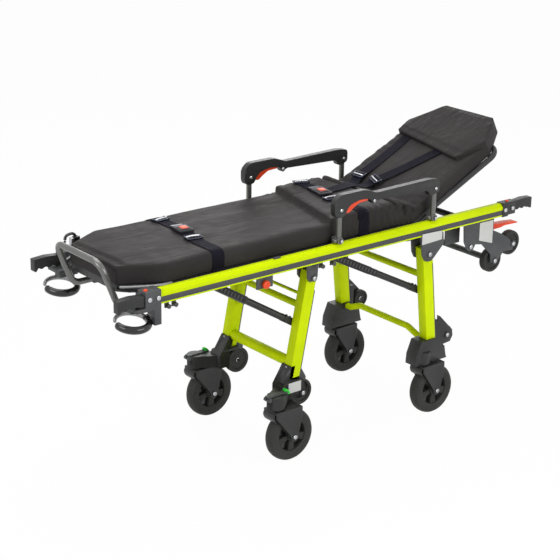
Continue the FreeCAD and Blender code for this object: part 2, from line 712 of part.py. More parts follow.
def side_rails():
    rail = prism("front", (S.rail_foot_end, S.rail_head_end), rail_outline())
    bore = rail_bore(S.rail_foot_end - S.cut_over, S.rail_head_end + S.cut_over)
    node("side_rails", *both_sides(cut(rail, bore)))
    strip = box((S.collar_foot_start, S.collar_head_start),
                (groove_floor, rail_outside + S.strip_proud), (groove_low, groove_high))
    node("rail_strips", *both_sides(strip))


def cross_tubes():
    places = [(S.foot_tube_x, deck_tube_z), (S.deck_tube_foot_x, deck_tube_z),
              (S.deck_tube_seat_x, deck_tube_z), (S.brace_foot_x, low_tube_z),
              (S.brace_head_x, low_tube_z), (S.leg_tube_x, low_tube_z),
              (S.rest_tube_x, low_tube_z), (S.hinge_x, hinge_z)]
    span = (-S.rail_inside, S.rail_inside)
    bore = S.tube_radius - S.tube_wall
    node("frame_cross_tubes", *[tube("y", spot, span, S.tube_radius, bore) for spot in places])


def deck_panel():
    shoulder = S.deck_foot + S.deck_taper
    outline = [(S.deck_foot, -S.deck_nose_half), (shoulder, -deck_half),
               (S.deck_head, -deck_half), (S.deck_head, deck_half),
               (shoulder, deck_half), (S.deck_foot, S.deck_nose_half)]
    sheet_metal = prism("top", (deck_bottom, deck_top), outline)
    lip = box((S.deck_foot, S.deck_foot + S.deck_sheet),
              (-S.deck_nose_half, S.deck_nose_half), (deck_bottom - S.deck_lip, deck_top))
    node("deck_panel", fuse(sheet_metal, lip))


def button_hole(x, side, top):
    depth = S.button_tall - S.button_proud + S.button_travel + S.button_gap
    return rod("z", (x, side), (top - depth, top + S.cut_over), S.button_radius + S.button_gap)


def foot_end_castings():
    collar = box((S.collar_foot_end, S.collar_foot_start), (collar_in, collar_out),
                 (collar_low, collar_high))
    slab_top = rail_bottom - S.slab_drop
    slab = box((S.collar_foot_end - S.slab_reach, S.collar_foot_start),
               (S.post_side, collar_out), (slab_top - S.slab_height, slab_top))
    post = box((S.post_start - S.post_length, S.post_start),
               (S.post_side, S.post_side + S.post_width), (post_bottom, slab_top))
    plate_start = S.collar_foot_start - S.back_plate_length
    thin = box((plate_start, S.collar_foot_start), (collar_out - S.back_plate_thin, collar_out),
               (back_plate_bottom, collar_low + S.cut_over))
    thick = box((plate_start, S.collar_foot_start), (collar_out - S.back_plate_thick, collar_out),
                (back_plate_clear, collar_low + S.cut_over))
    pin = rod("y", (S.lever_pin_x, lever_pin_z),
              (S.ring_side - S.tab_half - S.cut_over, collar_out - S.cut_over),
              S.lever_pin_radius)
    block = fuse(collar, slab, post, thin, thick, pin)
    seat = prism("front", (S.rail_foot_end, S.collar_foot_start + S.cut_over), rail_outline())
    bore = rail_bore(S.collar_foot_end - S.cut_over, S.rail_foot_end + S.cut_over)
    hole = button_hole(S.foot_button_x, S.rail_inside + S.rail_width / 2, collar_high)
    node("foot_end_castings", *both_sides(cut(block, seat, bore, hole)))


def head_end_collars():
    big = box((S.collar_head_start, S.collar_step), (S.rail_inside - S.collar_cover, collar_out),
              (rail_bottom - S.collar_cover, collar_high))
    small = box((S.collar_step, S.collar_head_end),
                (S.rail_inside - S.collar_thin, rail_outside + S.collar_thin),
                (rail_bottom + S.collar_thin, collar_high))
    seat = prism("front", (S.collar_head_start - S.cut_over, S.rail_head_end), rail_outline())
    bore = rail_bore(S.rail_head_end - S.cut_over, S.collar_head_end + S.cut_over)
    hole = button_hole(S.head_button_x, S.rail_inside + S.rail_width / 2, collar_high)
    node("head_end_collars", *both_sides(cut(fuse(big, small), seat, bore, hole)))


def push_hoop():
    side = S.hoop_side
    half = [(S.hoop_root_x, side, hoop_low), (S.hoop_knee_x, side, hoop_low),
            (S.hoop_top_x, side, hoop_top)]
    other = [(x, -y, z) for x, y, z in reversed(half)]
    hoop = bent_tube(half + other, S.hoop_bend, S.hoop_radius, S.hoop_wall)
    node("foot_hoop", hoop)


def hoop_hanger():
    """A block that hangs an arm of the hoop from the foot cross tube."""
    block = box((S.foot_tube_x - S.hanger_half, S.foot_tube_x + S.hanger_half),
                (S.hoop_side - S.hanger_thick / 2, S.hoop_side + S.hanger_thick / 2),
                (hoop_low - S.hanger_below, deck_tube_z))
    span = (S.hoop_side - S.hanger_thick, S.hoop_side + S.hanger_thick)
    upper = rod("y", (S.foot_tube_x, deck_tube_z), span, S.tube_radius)
    lower = rod("x", (S.hoop_side, hoop_low),
                (S.foot_tube_x - S.hanger_half - S.cut_over, S.hoop_root_x), S.hoop_radius)
    return cut(block, upper, lower)


HEAD_BRACKET = [(0, 1), (0.967, 1), (1, 0.548), (0.583, 0.096), (0.467, 0), (0.325, 0),
                (0.183, 0.067), (0.075, 0.298)]
WEB_SHARE = 0.96
FOOT_BRACKET = [(0, 1), (1, 1), (0.92, 0.16), (0.74, 0), (0.26, 0), (0.06, 0.16)]


def leg_bracket(pivot, side, corner, size, shape):
    """Two plates with a web over them and the pin that carries a leg."""
    inner = side - leg_half - S.leg_gap
    outer = side + leg_half + S.leg_gap
    outline = form(corner, size, shape)
    plates = [prism("side", (inner - S.bracket_sheet, inner), outline),
              prism("side", (outer, outer + S.bracket_sheet), outline)]
    web_piece = box((corner[0], corner[0] + size[0] * WEB_SHARE),
                    (inner - S.bracket_sheet, outer + S.bracket_sheet),
                    (rail_bottom - S.web, rail_bottom))
    pin = rod("y", pivot, (inner - S.bracket_sheet, outer + S.bracket_sheet + S.bolt_head),
              S.pivot_radius)
    head = rod("y", pivot, (outer + S.bracket_sheet, outer + S.bracket_sheet + S.bolt_head),
               S.pivot_radius * 1.6)
    return fuse(*plates, web_piece, pin, head)


def leg_brackets():
    pivot = (S.head_pivot_x, S.head_pivot_z)
    bottom = S.head_pivot_z - S.head_bracket_below
    head = leg_bracket(pivot, S.head_leg_side, (S.head_pivot_x - S.head_bracket_foot, bottom),
                       (S.head_bracket_length, rail_bottom - bottom), HEAD_BRACKET)
    pivot = (S.foot_pivot_x, S.foot_pivot_z)
    bottom = S.foot_pivot_z - S.foot_bracket_below
    foot = leg_bracket(pivot, S.foot_leg_side, (S.foot_pivot_x - S.foot_bracket_foot, bottom),
                       (S.foot_bracket_length, rail_bottom - bottom), FOOT_BRACKET)
    reach = leg_half + S.leg_gap + S.bracket_sheet
    side = (S.foot_leg_side - reach, S.foot_leg_side + reach)
    saddle = box((S.leg_tube_x - S.tube_radius, S.leg_tube_x + S.tube_radius), side,
                 (rail_bottom - S.web / 2, low_tube_z))
    saddle_bore = rod("y", (S.leg_tube_x, low_tube_z),
                      (side[0] - S.cut_over, side[1] + S.cut_over), S.tube_radius)
    node("leg_brackets", *both_sides(head, fuse(foot, cut(saddle, saddle_bore))))


# ------------------------------------------------------- handles and releases

def sliding_bar(start, end):
    return box((start, end), (bore_in + S.bar_gap, bore_out - S.bar_gap),
               (bore_low + S.bar_gap, bore_high - S.bar_gap))


FOOT_GRIP = [(0, 1), (0.3, 1), (0.75, 1.08), (0.95, 1.06), (1, 0.95), (1, -0.12), (0.93, -0.16),
             (0.88, 0.02), (0.8, 0.14), (0.7, 0.02), (0.62, 0.14), (0.52, 0.02), (0.44, 0.14),
             (0.34, 0.02), (0.26, 0.14), (0.16, 0.01), (0, 0.01)]
HEAD_GRIP = [(0, 0.88), (0.2, 0.92), (0.7, 0.99), (0.93, 1), (1, 0.9), (1, 0.1), (0.93, 0.02),
             (0.88, 0.12), (0.8, 0.24), (0.7, 0.1), (0.62, 0.21), (0.52, 0.06), (0.44, 0.17),
             (0.34, 0.02), (0.26, 0.13), (0.14, 0), (0, 0)]


def handle(name, face, length, low, height, shape, bar_end):
    """A ribbed grip on a bar that slides in the rail."""
    outline = form((face, low), (length, height), shape)
    grip = prism("side", (S.rail_inside, rail_outside), outline)
    start, end = sorted((bar_end, face + length * 0.05), key=lambda size: size.value)
    part = fuse(grip, sliding_bar(start, end))
    node(f"left_{name}", part)
    node(f"right_{name}", mirror(part))


def handles():
    face = S.collar_foot_end - S.grip_gap
    handle("foot_handle", face, -S.grip_end - face, rail_bottom, S.rail_height, FOOT_GRIP,
           S.rail_foot_end + S.bar_in_rail)
    face = S.collar_head_end + S.grip_gap
    handle("head_handle", face, S.grip_end - face, rail_bottom + S.grip_lift, S.grip_height,
           HEAD_GRIP, S.rail_head_end - S.bar_in_rail)


def release_buttons():
    side = S.rail_inside + S.rail_width / 2
    top = collar_high + S.button_proud
    for end, x in (("foot", S.foot_button_x), ("head", S.head_button_x)):
        button = rod("z", (x, side), (top - S.button_tall, top), S.button_radius)
        node(f"left_{end}_button", button)
        node(f"right_{end}_button", mirror(button))


def release_ring(name, side, inner, outer):
    """A ring with an open mouth, on a tab that is hinged under the collar."""
    low = lever_pin_z - S.ring_height / 2
    span = (low, low + S.ring_height)
    over = (low - S.cut_over, low + S.ring_height + S.cut_over)
    band = cut(rod("z", (S.ring_x, side), span, S.ring_radius),
               rod("z", (S.ring_x, side), over, S.ring_radius - S.ring_band))
    reach = S.ring_radius * 1.6
    corners = [S.ring_turn - S.ring_mouth, S.ring_turn + S.ring_mouth]
    mouth = prism("top", over, [(S.ring_x, side)] + [
        (S.ring_x + reach * cosine(angle), side + reach * sine(angle)) for angle in corners])
    arm = box((S.ring_x + S.ring_radius - S.ring_band, S.lever_pin_x), (inner, outer),
              (lever_pin_z - S.tab_eye, lever_pin_z + S.tab_eye))
    eye = rod("y", (S.lever_pin_x, lever_pin_z), (inner, outer), S.tab_eye)
    hole = rod("y", (S.lever_pin_x, lever_pin_z), (inner - S.cut_over, outer + S.cut_over),
               S.lever_pin_radius + S.pin_fit)
    node(name, cut(fuse(cut(band, mouth), arm, eye), hole))


def release_rings():
    near = S.ring_side - S.tab_half
    far = S.ring_side + S.tab_half
    release_ring("left_release_ring", S.ring_side, near, far)
    release_ring("right_release_ring", -S.ring_side, -far, -near)


# ---------------------------------------------------------------------- legs

def leg_tube(side, length):
    """A rectangular tube with its pivot at the origin of its own frame."""
    outer = box((-depth_half, depth_half), (side - leg_half, side + leg_half),
                (-length, S.leg_over))
    inner = box((S.leg_wall - depth_half, depth_half - S.leg_wall),
                (side - leg_half + S.leg_wall, side + leg_half - S.leg_wall),
                (-length - S.cut_over, S.leg_over - S.leg_wall))
    hole = rod("y", (0, 0), (side - leg_half - S.cut_over, side + leg_half + S.cut_over),
               pin_bore)
    return cut(outer, inner, hole)


def arched_tube(drop, side):
    """A cross tube whose middle is raised between two gentle bends."""
    edge = side - leg_half
    shoulder = edge - S.arch_shoulder
    low = -drop
    high = S.arch_rise - drop
    points = [(0, edge, low), (0, edge - S.arch_shoulder / 3, low), (0, shoulder, high),
              (0, -shoulder, high), (0, S.arch_shoulder / 3 - edge, low), (0, -edge, low)]
    return bent_tube(points, S.hoop_bend, S.tube_radius, S.tube_wall)


def between_legs(drop, side, radius, bore, shift=0):
    span = (leg_half - side, side - leg_half)
    return tube("y", (sized(shift), -drop), span, radius, bore)


def head_leg_frame():
    strip = box((depth_half, depth_half + S.edge_strip),
                (S.head_leg_side - leg_half / 2, S.head_leg_side + leg_half / 2),
                (-S.edge_strip_end, -S.edge_strip_start))
    upper = between_legs(S.head_upper_tube, S.head_leg_side, S.tube_radius,
                         S.tube_radius - S.tube_wall)
    frame = node("head_leg_frame", *both_sides(leg_tube(S.head_leg_side, S.head_leg_length), strip),
                 upper, arched_tube(S.head_lower_tube, S.head_leg_side))
    tilt(frame, S.head_pivot_x, S.head_pivot_z, -S.head_lean)


def foot_leg_frame():
    upper = between_legs(S.foot_upper_tube, S.foot_leg_side, S.tube_radius,
                         S.tube_radius - S.tube_wall)
    lower = between_legs(S.foot_lower_tube, S.foot_leg_side, S.foot_lower_radius,
                         S.foot_lower_radius - S.tube_wall)
    thin = between_legs(S.thin_rod_drop, S.foot_leg_side, S.thin_rod_radius,
                        S.thin_rod_radius / 2)
    frame = node("foot_leg_frame", *both_sides(leg_tube(S.foot_leg_side, S.foot_leg_length)),
                 upper, lower, thin)
    tilt(frame, S.foot_pivot_x, S.foot_pivot_z, S.foot_lean)


def leg_socket(pivot_x, pivot_z, lean, side, length):
    """The space of a leg tube, where a casting goes round it."""
    block = box((-depth_half, depth_half), (side - leg_half, side + leg_half),
                (-length, S.leg_over))
    return tilt(node_free(block), pivot_x, pivot_z, lean)


def node_free(item):
    """A group that can be tilted but is no piece by itself."""
    group = doc.addObject("Part::Compound", "Tilted")
    group.Links = [item]
    return group


def swivel_housing(x, side):
    """The round housing that a caster stem turns in."""
    low = S.fork_top + S.swivel_lift + S.swivel_gap
    return rod("z", (x, side), (low, low + S.housing_height), S.housing_radius)


def stem_hole(x, side):
    low = S.fork_top + S.swivel_lift
    return rod("z", (x, side), (low - S.cut_over, low + S.stem_height + S.cut_over),
               S.stem_radius + S.pin_fit)


def guide_pin(x, z, start, end, face):
    """The axle of a guide wheel, with a round head on its plate."""
    return fuse(rod("y", (x, z), (start, end), S.axle_radius),
                rod("y", (x, z), (face, face + S.bolt_head), S.guide_boss))


SHOE = [(0.16, 1), (0.02, 0.42), (0, 0), (1, 0), (0.97, 0.14), (0.92, 0.55), (0.62, 1)]
HEAD_GUIDE = [(0, 1), (0.15, 0.94), (0.56, 0.66), (0.95, 0.4), (1, 0.2), (0.85, 0.03), (0.35, 0),
              (0, 0.02)]


def head_leg_castings():
    low = S.fork_top + S.swivel_lift + S.swivel_gap
    start = S.head_swivel_x - S.shoe_back
    half = S.shoe_width / 2
    outline = form((start, low), (S.shoe_length, S.shoe_top - low), SHOE)
    shoe = prism("side", (S.head_leg_side - half, S.head_leg_side + half), outline)
    socket = leg_socket(S.head_pivot_x, S.head_pivot_z, -S.head_lean, S.head_leg_side,
                        S.head_leg_length)
    casting = fuse(shoe, swivel_housing(S.head_swivel_x, S.head_swivel_side))
    crossing = tilt(node_free(rod("y", (0, -S.head_lower_tube), (0, S.head_leg_side),
                                  S.tube_radius)),
                    S.head_pivot_x, S.head_pivot_z, -S.head_lean)
    face = S.head_guide_side + S.head_guide_width / 2 + S.guide_gap
    guide_low = S.head_guide_z - S.head_guide_radius
    guide_start = S.head_guide_x - S.head_guide_radius * 1.5
    guide = prism("side", (face, face + S.guide_sheet),
                  form((guide_start, guide_low), (S.head_guide_radius * 2.4,
                                                  S.head_guide_radius * 3.6), HEAD_GUIDE))
    pin = guide_pin(S.head_guide_x, S.head_guide_z, face - S.head_guide_width - S.guide_gap * 2,
                    face + S.guide_sheet, face + S.guide_sheet)
    clamp = box((guide_start - depth_half, guide_start + S.guide_sheet),
                (S.head_leg_side - leg_half, face + S.guide_sheet),
                (guide_low, guide_low + S.head_guide_radius * 3))
    casting = cut(fuse(casting, guide, clamp, pin), socket, crossing,
                  stem_hole(S.head_swivel_x, S.head_swivel_side))
    node("head_leg_castings", *both_sides(casting))


FOOT_GUIDE = [(0, 1), (0.62, 0.94), (1, 0.6), (1, 0.2), (0.7, 0), (0.3, 0.05)]


def foot_leg_castings():
    """A socket on the leg, an arm out to the swivel housing and the guide plate."""
    low = S.fork_top + S.swivel_lift + S.swivel_gap
    top = low + S.housing_height
    foot_x, foot_z = leg_point(S.foot_pivot_x, S.foot_pivot_z, S.foot_lean, S.foot_leg_length)
    root_start = foot_x - S.arm_length
    half = S.arm_width / 2
    clear_x = S.foot_guide_x - S.foot_guide_radius - S.shoe_wall
    clear_z = S.foot_guide_z + S.foot_guide_radius + S.shoe_wall
    wall = depth_half + S.shoe_wall
    cup = foot_z + S.arm_cup
    clamp_x = foot_x + (S.arm_top - foot_z) * sine(S.foot_lean) / cosine(S.foot_lean)
    socket_outline = [(root_start, low), (clear_x, low), (clear_x, clear_z),
                      (foot_x + wall, clear_z), (foot_x + wall, cup),
                      (foot_x - S.arm_open, cup), (clamp_x - S.arm_open, S.arm_top),
                      (clamp_x - wall, S.arm_top), (root_start, top + S.shoe_wall)]
    sides = (S.foot_leg_side - half, S.foot_leg_side + half)
    block = prism("side", sides, socket_outline)
    reach = [(S.foot_swivel_x, S.foot_swivel_side - S.housing_radius),
             (S.foot_swivel_x + S.housing_radius / 2, S.foot_swivel_side + S.housing_radius * 0.85),
             (root_start + half, sides[1]), (root_start + half, sides[0])]
    arm = prism("top", (low, top), reach)
    pin = rod("y", (S.pedal_pin_x, S.pedal_pin_z),
              (S.foot_swivel_side - S.pedal_width / 2, S.foot_swivel_side + S.pedal_width / 2),
              S.pedal_radius)
    ear = box((S.pedal_pin_x, S.foot_swivel_x),
              (S.foot_swivel_side - S.pedal_ear, S.foot_swivel_side + S.pedal_ear),
              (S.pedal_pin_z - S.pedal_eye, S.pedal_pin_z + S.pedal_eye))
    face = S.foot_guide_side + S.foot_guide_width / 2 + S.guide_gap
    size = S.foot_guide_radius
    plate = prism("side", (face, face + S.guide_sheet),
                  form((S.foot_guide_x - size * 1.5, S.foot_guide_z - size * 0.35),
                       (size * 1.9, size * 1.7), FOOT_GUIDE))
    axle = guide_pin(S.foot_guide_x, S.foot_guide_z, face - S.foot_guide_width - S.guide_gap * 2,
                     face + S.guide_sheet, face + S.guide_sheet)
    solid = fuse(block, arm, swivel_housing(S.foot_swivel_x, S.foot_swivel_side), pin, ear, plate,
                 axle)
    socket = leg_socket(S.foot_pivot_x, S.foot_pivot_z, S.foot_lean, S.foot_leg_side,
                        S.foot_leg_length)
    crossing = tilt(node_free(rod("y", (0, -S.foot_lower_tube), (0, S.foot_leg_side),
                                  S.foot_lower_radius)),
                    S.foot_pivot_x, S.foot_pivot_z, S.foot_lean)
    casting = cut(solid, socket, crossing, stem_hole(S.foot_swivel_x, S.foot_swivel_side))
    node("foot_leg_castings", *both_sides(casting))


# -------------------------------------------------------------------- braces

def brace(name, pivot_x, pivot_z, lean, drop, fold, anchor_x, side, leg_face):
    """A telescopic brace: a tube on a frame cross tube and a rod to the leg."""
    rest_x, rest_z = leg_point(pivot_x, pivot_z, lean, drop)
    fold_x, fold_z = leg_point(pivot_x, pivot_z, lean + fold, drop)
    run = rest_x - anchor_x
    fall = low_tube_z - rest_z
    length = root(run * run + fall * fall)
    short = root((fold_x - anchor_x) * (fold_x - anchor_x)
                 + (low_tube_z - fold_z) * (low_tube_z - fold_z))
    angle = slope(fall, run)
    eye_radius = S.tube_radius + S.eye_wall
    tube_end = short - S.brace_spare
    barrel = fuse(rod("y", (0, 0), (side - S.eye_half, side + S.eye_half), eye_radius),
                  rod("x", (side, 0), (S.eye_start, tube_end), S.brace_radius))
    bore = rod("x", (side, 0), (S.rod_stop - S.eye_wall / 2, tube_end + S.cut_over),
               S.brace_bore)
    hole = rod("y", (0, 0), (side - S.eye_half * 2, side + S.eye_half * 2),
               S.tube_radius + S.pin_fit)
    barrel = cut(barrel, bore, hole)
    tilt(node(f"{name}_brace_tubes", *both_sides(barrel)), anchor_x, low_tube_z, angle)
    inner_end = length - short + S.rod_stop
    collar_start = length - S.brace_collar
    bar = rod("x", (side, 0), (inner_end, collar_start + S.cut_over), S.brace_bore - S.rod_gap)
    collar = box((collar_start, length), (side - S.brace_collar_half, side + S.brace_collar_half),
                 (-S.brace_collar_half, S.brace_collar_half))
    eye = rod("y", (length, 0), (side - S.brace_collar_half, leg_face - S.brace_seat),
              S.brace_collar_half)
    nubs = [rod("z", (collar_start + S.brace_collar * share, side),
                (S.brace_collar_half, S.brace_collar_half + S.nub_tall), S.nub_radius)
            for share in (0.2, 0.55)]
    slider = fuse(bar, collar, eye, *nubs)
    tilt(node(f"{name}_brace_rods", *both_sides(slider)), anchor_x, low_tube_z, angle)


def braces():
    brace("foot", S.foot_pivot_x, S.foot_pivot_z, S.foot_lean, S.foot_brace_drop, S.foot_fold,
          S.brace_foot_x, S.foot_brace_side, S.foot_leg_side - leg_half)
    brace("head", S.head_pivot_x, S.head_pivot_z, -S.head_lean, S.head_brace_drop, S.head_fold,
          S.brace_head_x, S.head_brace_side, S.head_leg_side - leg_half)


# ------------------------------------------------------------------- casters

def caster(name, x, side, trail):
    """A swivel fork and its wheel."""
    axle_x = x + trail
    axle_z = S.wheel_radius
    inner = S.hub_width / 2 + S.fork_gap
    outer = inner + S.fork_sheet
    top_low = S.fork_top - S.fork_sheet
    crown = box((x - S.swivel_race, axle_x + S.fork_half), (side - outer, side + outer),
                (top_low, S.fork_top))
    race = rod("z", (x, side), (top_low, S.fork_top + S.swivel_lift), S.swivel_race)
    stem = rod("z", (x, side), (top_low, S.fork_top + S.swivel_lift + S.stem_height),
               S.stem_radius)
    outline = [(axle_x - S.fork_eye, axle_z), (axle_x - S.fork_eye, axle_z - S.fork_eye),
               (axle_x + S.fork_eye, axle_z - S.fork_eye), (axle_x + S.fork_eye, axle_z),
               (axle_x + S.fork_half, S.fork_top), (x - S.swivel_race / 2, S.fork_top)]
    rounds = {1: S.fork_eye * 0.9, 2: S.fork_eye * 0.9}
    plates = [prism("side", (side - outer, side - inner), outline, rounds),
              prism("side", (side + inner, side + outer), outline, rounds)]
    axle = rod("y", (axle_x, axle_z), (side - outer - S.bolt_head, side + outer + S.bolt_head),
               S.axle_radius)
    heads = [rod("y", (axle_x, axle_z), (side + start, side + start + S.bolt_head),
                 S.axle_radius * 1.6) for start in (outer, -outer - S.bolt_head)]
    fork = fuse(crown, race, stem, *plates, axle, *heads)
    node(f"left_{name}_caster_fork", fork)
    node(f"right_{name}_caster_fork", mirror(fork))
    half = S.tyre_width / 2
    wheel = rod("y", (axle_x, axle_z), (side - half, side + half), S.wheel_radius)
    hub = rod("y", (axle_x, axle_z), (side - S.hub_width / 2, side + S.hub_width / 2),
              S.hub_radius)
    recesses = [rod("y", (axle_x, axle_z), span, S.rim_radius)
                for span in ((side - half - S.cut_over, side - half + S.hub_recess),
                             (side + half - S.hub_recess, side + half + S.cut_over))]
    bore = rod("y", (axle_x, axle_z), (side - S.hub_width, side + S.hub_width), axle_bore)
    windows = []
    for number in range(int(S.window_count.value)):
        turn = sized(number) * 360 / S.window_count
        windows.append(rod("y", (axle_x + S.window_place * sine(turn),
                                 axle_z + S.window_place * cosine(turn)),
                           (side - half, side + half), S.window_radius))
    wheel = cut(fuse(cut(wheel, *recesses), hub), bore, *windows)
    node(f"left_{name}_caster_wheel", wheel)
    node(f"right_{name}_caster_wheel", mirror(wheel))


def casters():
    caster("foot", S.foot_swivel_x, S.foot_swivel_side, S.foot_trail)
    caster("head", S.head_swivel_x, S.head_swivel_side, S.head_trail)


def spool(x, z, side, radius, width):
    """A plain wheel with a hub, round an axle along Y."""
    tread = rod("y", (x, z), (side - width / 2, side + width / 2), radius)
    bore = rod("y", (x, z), (side - width, side + width), axle_bore)
    dish = [rod("y", (x, z), span, radius * 0.66)
            for span in ((side - width, side - width * 0.3), (side + width * 0.3, side + width))]
    hub = rod("y", (x, z), (side - width / 2, side + width / 2), S.guide_boss)
    return cut(fuse(cut(tread, *dish), hub), bore)


def guide_and_load_wheels():
    node("foot_guide_wheels", *both_sides(spool(
        S.foot_guide_x, S.foot_guide_z, S.foot_guide_side, S.foot_guide_radius,
        S.foot_guide_width)))
    node("head_guide_wheels", *both_sides(spool(
        S.head_guide_x, S.head_guide_z, S.head_guide_side, S.head_guide_radius,
        S.head_guide_width)))
    side = S.load_plate_side - S.load_gap - S.load_width / 2
    node("load_wheels_front", *both_sides(spool(
        load_front_x, load_front_z, side, S.load_radius, S.load_width)))
    node("load_wheels_rear", *both_sides(spool(
        load_rear_x, load_rear_z, side, S.load_radius, S.load_width)))


def brake_pedals():
    """A rocker on an ear of the housing: a tread in front and a raised tab."""
    side = S.foot_swivel_side
    half = S.pedal_width / 2
    x = S.pedal_pin_x
    z = S.pedal_pin_z
    eye_radius = S.pedal_eye
    toe = x - eye_radius - S.pedal_reach
    tread = prism("side", (side - half, side + half),
                  [(x, z - eye_radius), (toe, z - eye_radius * 2.6), (toe, z - eye_radius * 1.4),
                   (x - eye_radius, z + eye_radius * 0.6), (x, z + eye_radius)])
    eye = rod("y", (x, z), (side - half, side + half), eye_radius)
    gap = S.pedal_ear + S.pedal_gap
    slot = box((x - eye_radius - S.pedal_gap, S.foot_swivel_x), (side - gap, side + gap),
               (z - eye_radius * 3, z + eye_radius + S.pedal_gap))
    hole = rod("y", (x, z), (side - half * 2, side + half * 2), S.pedal_radius + S.pin_fit)
    low = S.fork_top + S.swivel_lift + S.swivel_gap + S.housing_height + S.tab_lift
    tab = prism("side", (side - half * 0.8, side + half * 0.8),
                [(x - eye_radius, z), (x + eye_radius * 0.6, z + eye_radius * 0.7),
                 (x + eye_radius, low), (x + S.tab_reach, low + S.tab_sheet * 1.5),
                 (x + S.tab_reach, low + S.tab_sheet * 2.2), (x, low + S.tab_sheet)])
    pedal = cut(fuse(tread, eye, tab), slot, hole)
    node("left_brake_pedal", pedal)
    node("right_brake_pedal", mirror(pedal))


# --------------------------------------------------------------- load wheels

LOAD_PLATE = [(0, 1), (0.554, 1.01), (0.578, 0.725), (0.749, 0.601), (0.916, 0.435), (1, 0.254),
              (0.99, 0.18), (0.805, 0.197), (0.756, 0.114), (0.68, 0), (0.56, 0.02),
              (0.55, 0.212), (0.366, 0.482), (0.24, 0.518), (0.195, 0.415), (0.146, 0.394),
              (0.09, 0.43), (0.021, 0.622)]


def load_wheel_frame():
    outer = S.load_plate_side + S.load_sheet
    height = (rail_bottom - S.load_bottom) / 1.01
    plate = prism("side", (S.load_plate_side, outer),
                  form((S.load_foot, S.load_bottom), (S.load_length, height), LOAD_PLATE))
    top = box((S.load_foot, S.load_foot + S.load_length * 0.48), (outer - S.flange, outer),
              (rail_bottom - S.load_sheet, rail_bottom))
    inner = S.load_plate_side - S.load_gap - S.load_width
    axles = []
    for x, z, start in ((load_front_x, load_front_z, inner - S.load_gap),
                        (load_rear_x, load_rear_z, inner - S.load_gap)):
        axles.append(rod("y", (x, z), (start, outer + S.bolt_head), S.axle_radius))
        axles.append(bolt(x, z, outer, S.guide_boss))
        axles.append(rod("y", (x, z), (start, start + S.load_gap * 0.8), S.tube_radius))
    hanger = bolt(S.load_foot + S.load_length * 0.14, S.load_bottom + height * 0.5, outer)
    arm = fuse(plate, top, *axles, hanger)
    end = inner - S.load_gap
    joiner = tube("y", (load_rear_x, load_rear_z), (-end, end), S.tube_radius,
                  S.tube_radius - S.tube_wall)
    grey_foot = S.rest_tube_x - S.grey_plate_before
    grey = box((grey_foot, grey_foot + S.grey_plate_length),
               (S.grey_plate_side - S.load_sheet / 2, S.grey_plate_side + S.load_sheet / 2),
               (S.grey_plate_low, low_tube_z))
    notch = rod("y", (S.rest_tube_x, low_tube_z),
                (S.grey_plate_side - S.load_sheet, S.grey_plate_side + S.load_sheet),
                S.tube_radius)
    node("load_wheel_frame", *both_sides(arm, cut(grey, notch)), joiner)


# ------------------------------------------------------------------ armrests

ARM_REST = [(0, 0.3), (0.004, 0.63), (0.054, 1), (0.289, 1), (0.337, 0.89), (0.374, 0.76),
            (0.906, 0.81), (0.971, 0.68), (1, 0.43), (0.977, 0.13), (0.927, 0), (0.898, 0.28),
            (0.366, 0.4), (0.328, 0.55), (0.245, 0.53), (0.112, 0.16), (0.048, 0)]


def armrest_post(x, short):
    """A round post with a boss below and a flat strap above."""
    boss = rod("y", (x, arm_low_z),
               (S.post_centre - S.post_boss_half, S.post_centre + S.post_boss_half), S.post_boss)
    shaft = rod("z", (x, S.post_centre), (arm_low_z, arm_high_z - short), S.arm_post_radius)
    strap_out = S.arm_inside - S.bar_gap
    strap = box((x - S.strap_half, x + S.strap_half), (strap_out - S.strap_sheet, strap_out),
                (arm_high_z - short - S.post_boss, arm_high_z))
    shoulder = box((x - S.strap_half, x + S.strap_half), (strap_out - S.strap_sheet, S.post_centre),
                   (arm_high_z - short - S.post_boss, arm_high_z - short - S.cut_over))
    eye = rod("y", (x, arm_high_z), (strap_out - S.strap_sheet, strap_out), S.strap_half)
    bore = rod("y", (x, arm_low_z), (S.post_centre - S.post_boss_half * 2,
                                       S.post_centre + S.post_boss_half * 2),
               S.arm_pin + S.pin_fit)
    hole = rod("y", (x, arm_high_z), (strap_out - S.strap_sheet * 2, strap_out + S.cut_over),
               S.arm_pin + S.pin_fit)
    return cut(fuse(boss, shaft, strap, shoulder, eye), bore, hole)


def armrest_bar():
    """The armrest with its two pins, the slot and the pin of its trigger."""
    start = S.arm_foot_x - S.arm_past_foot
    length = S.arm_head_x + S.arm_past_head - start
    low = arm_high_z - S.arm_under
    high = arm_high_z + S.arm_crown
    outer = S.arm_inside + S.arm_thick
    bar = prism("side", (S.arm_inside, outer),
                form((start, low), (length, high - low), ARM_REST))
    ears = box((trigger_x - S.trigger_ear, trigger_x + S.trigger_ear), (S.arm_inside, outer),
               (trigger_z - S.trigger_ear_low, trigger_z + S.trigger_ear_high))
    middle = S.arm_inside + S.arm_thick / 2
    slot_foot = trigger_x - S.trigger_reach - S.trigger_clear
    slot_head = trigger_x - S.trigger_reach + S.trigger_length + S.trigger_clear
    slot = box((slot_foot, slot_head),
               (middle - S.trigger_slot / 2, middle + S.trigger_slot / 2),
               (low - S.cut_over, trigger_z + S.trigger_roof))
    pins = []
    strap_in = S.arm_inside - S.bar_gap - S.strap_sheet
    pins.append(rod("y", (S.arm_foot_x, arm_high_z), (strap_in - S.bar_gap, outer), S.arm_pin))
    heads = [bolt(x, arm_high_z, outer) for x in (S.arm_foot_x, S.arm_head_x)]
    hinge = rod("y", (trigger_x, trigger_z), (S.arm_inside, outer), S.trigger_pin)
    bolt_mid = bolt(S.arm_foot_x + S.arm_bolt_along, arm_high_z + S.arm_bolt_up, outer)
    return fuse(cut(fuse(bar, ears), slot), hinge, *pins, *heads, bolt_mid)


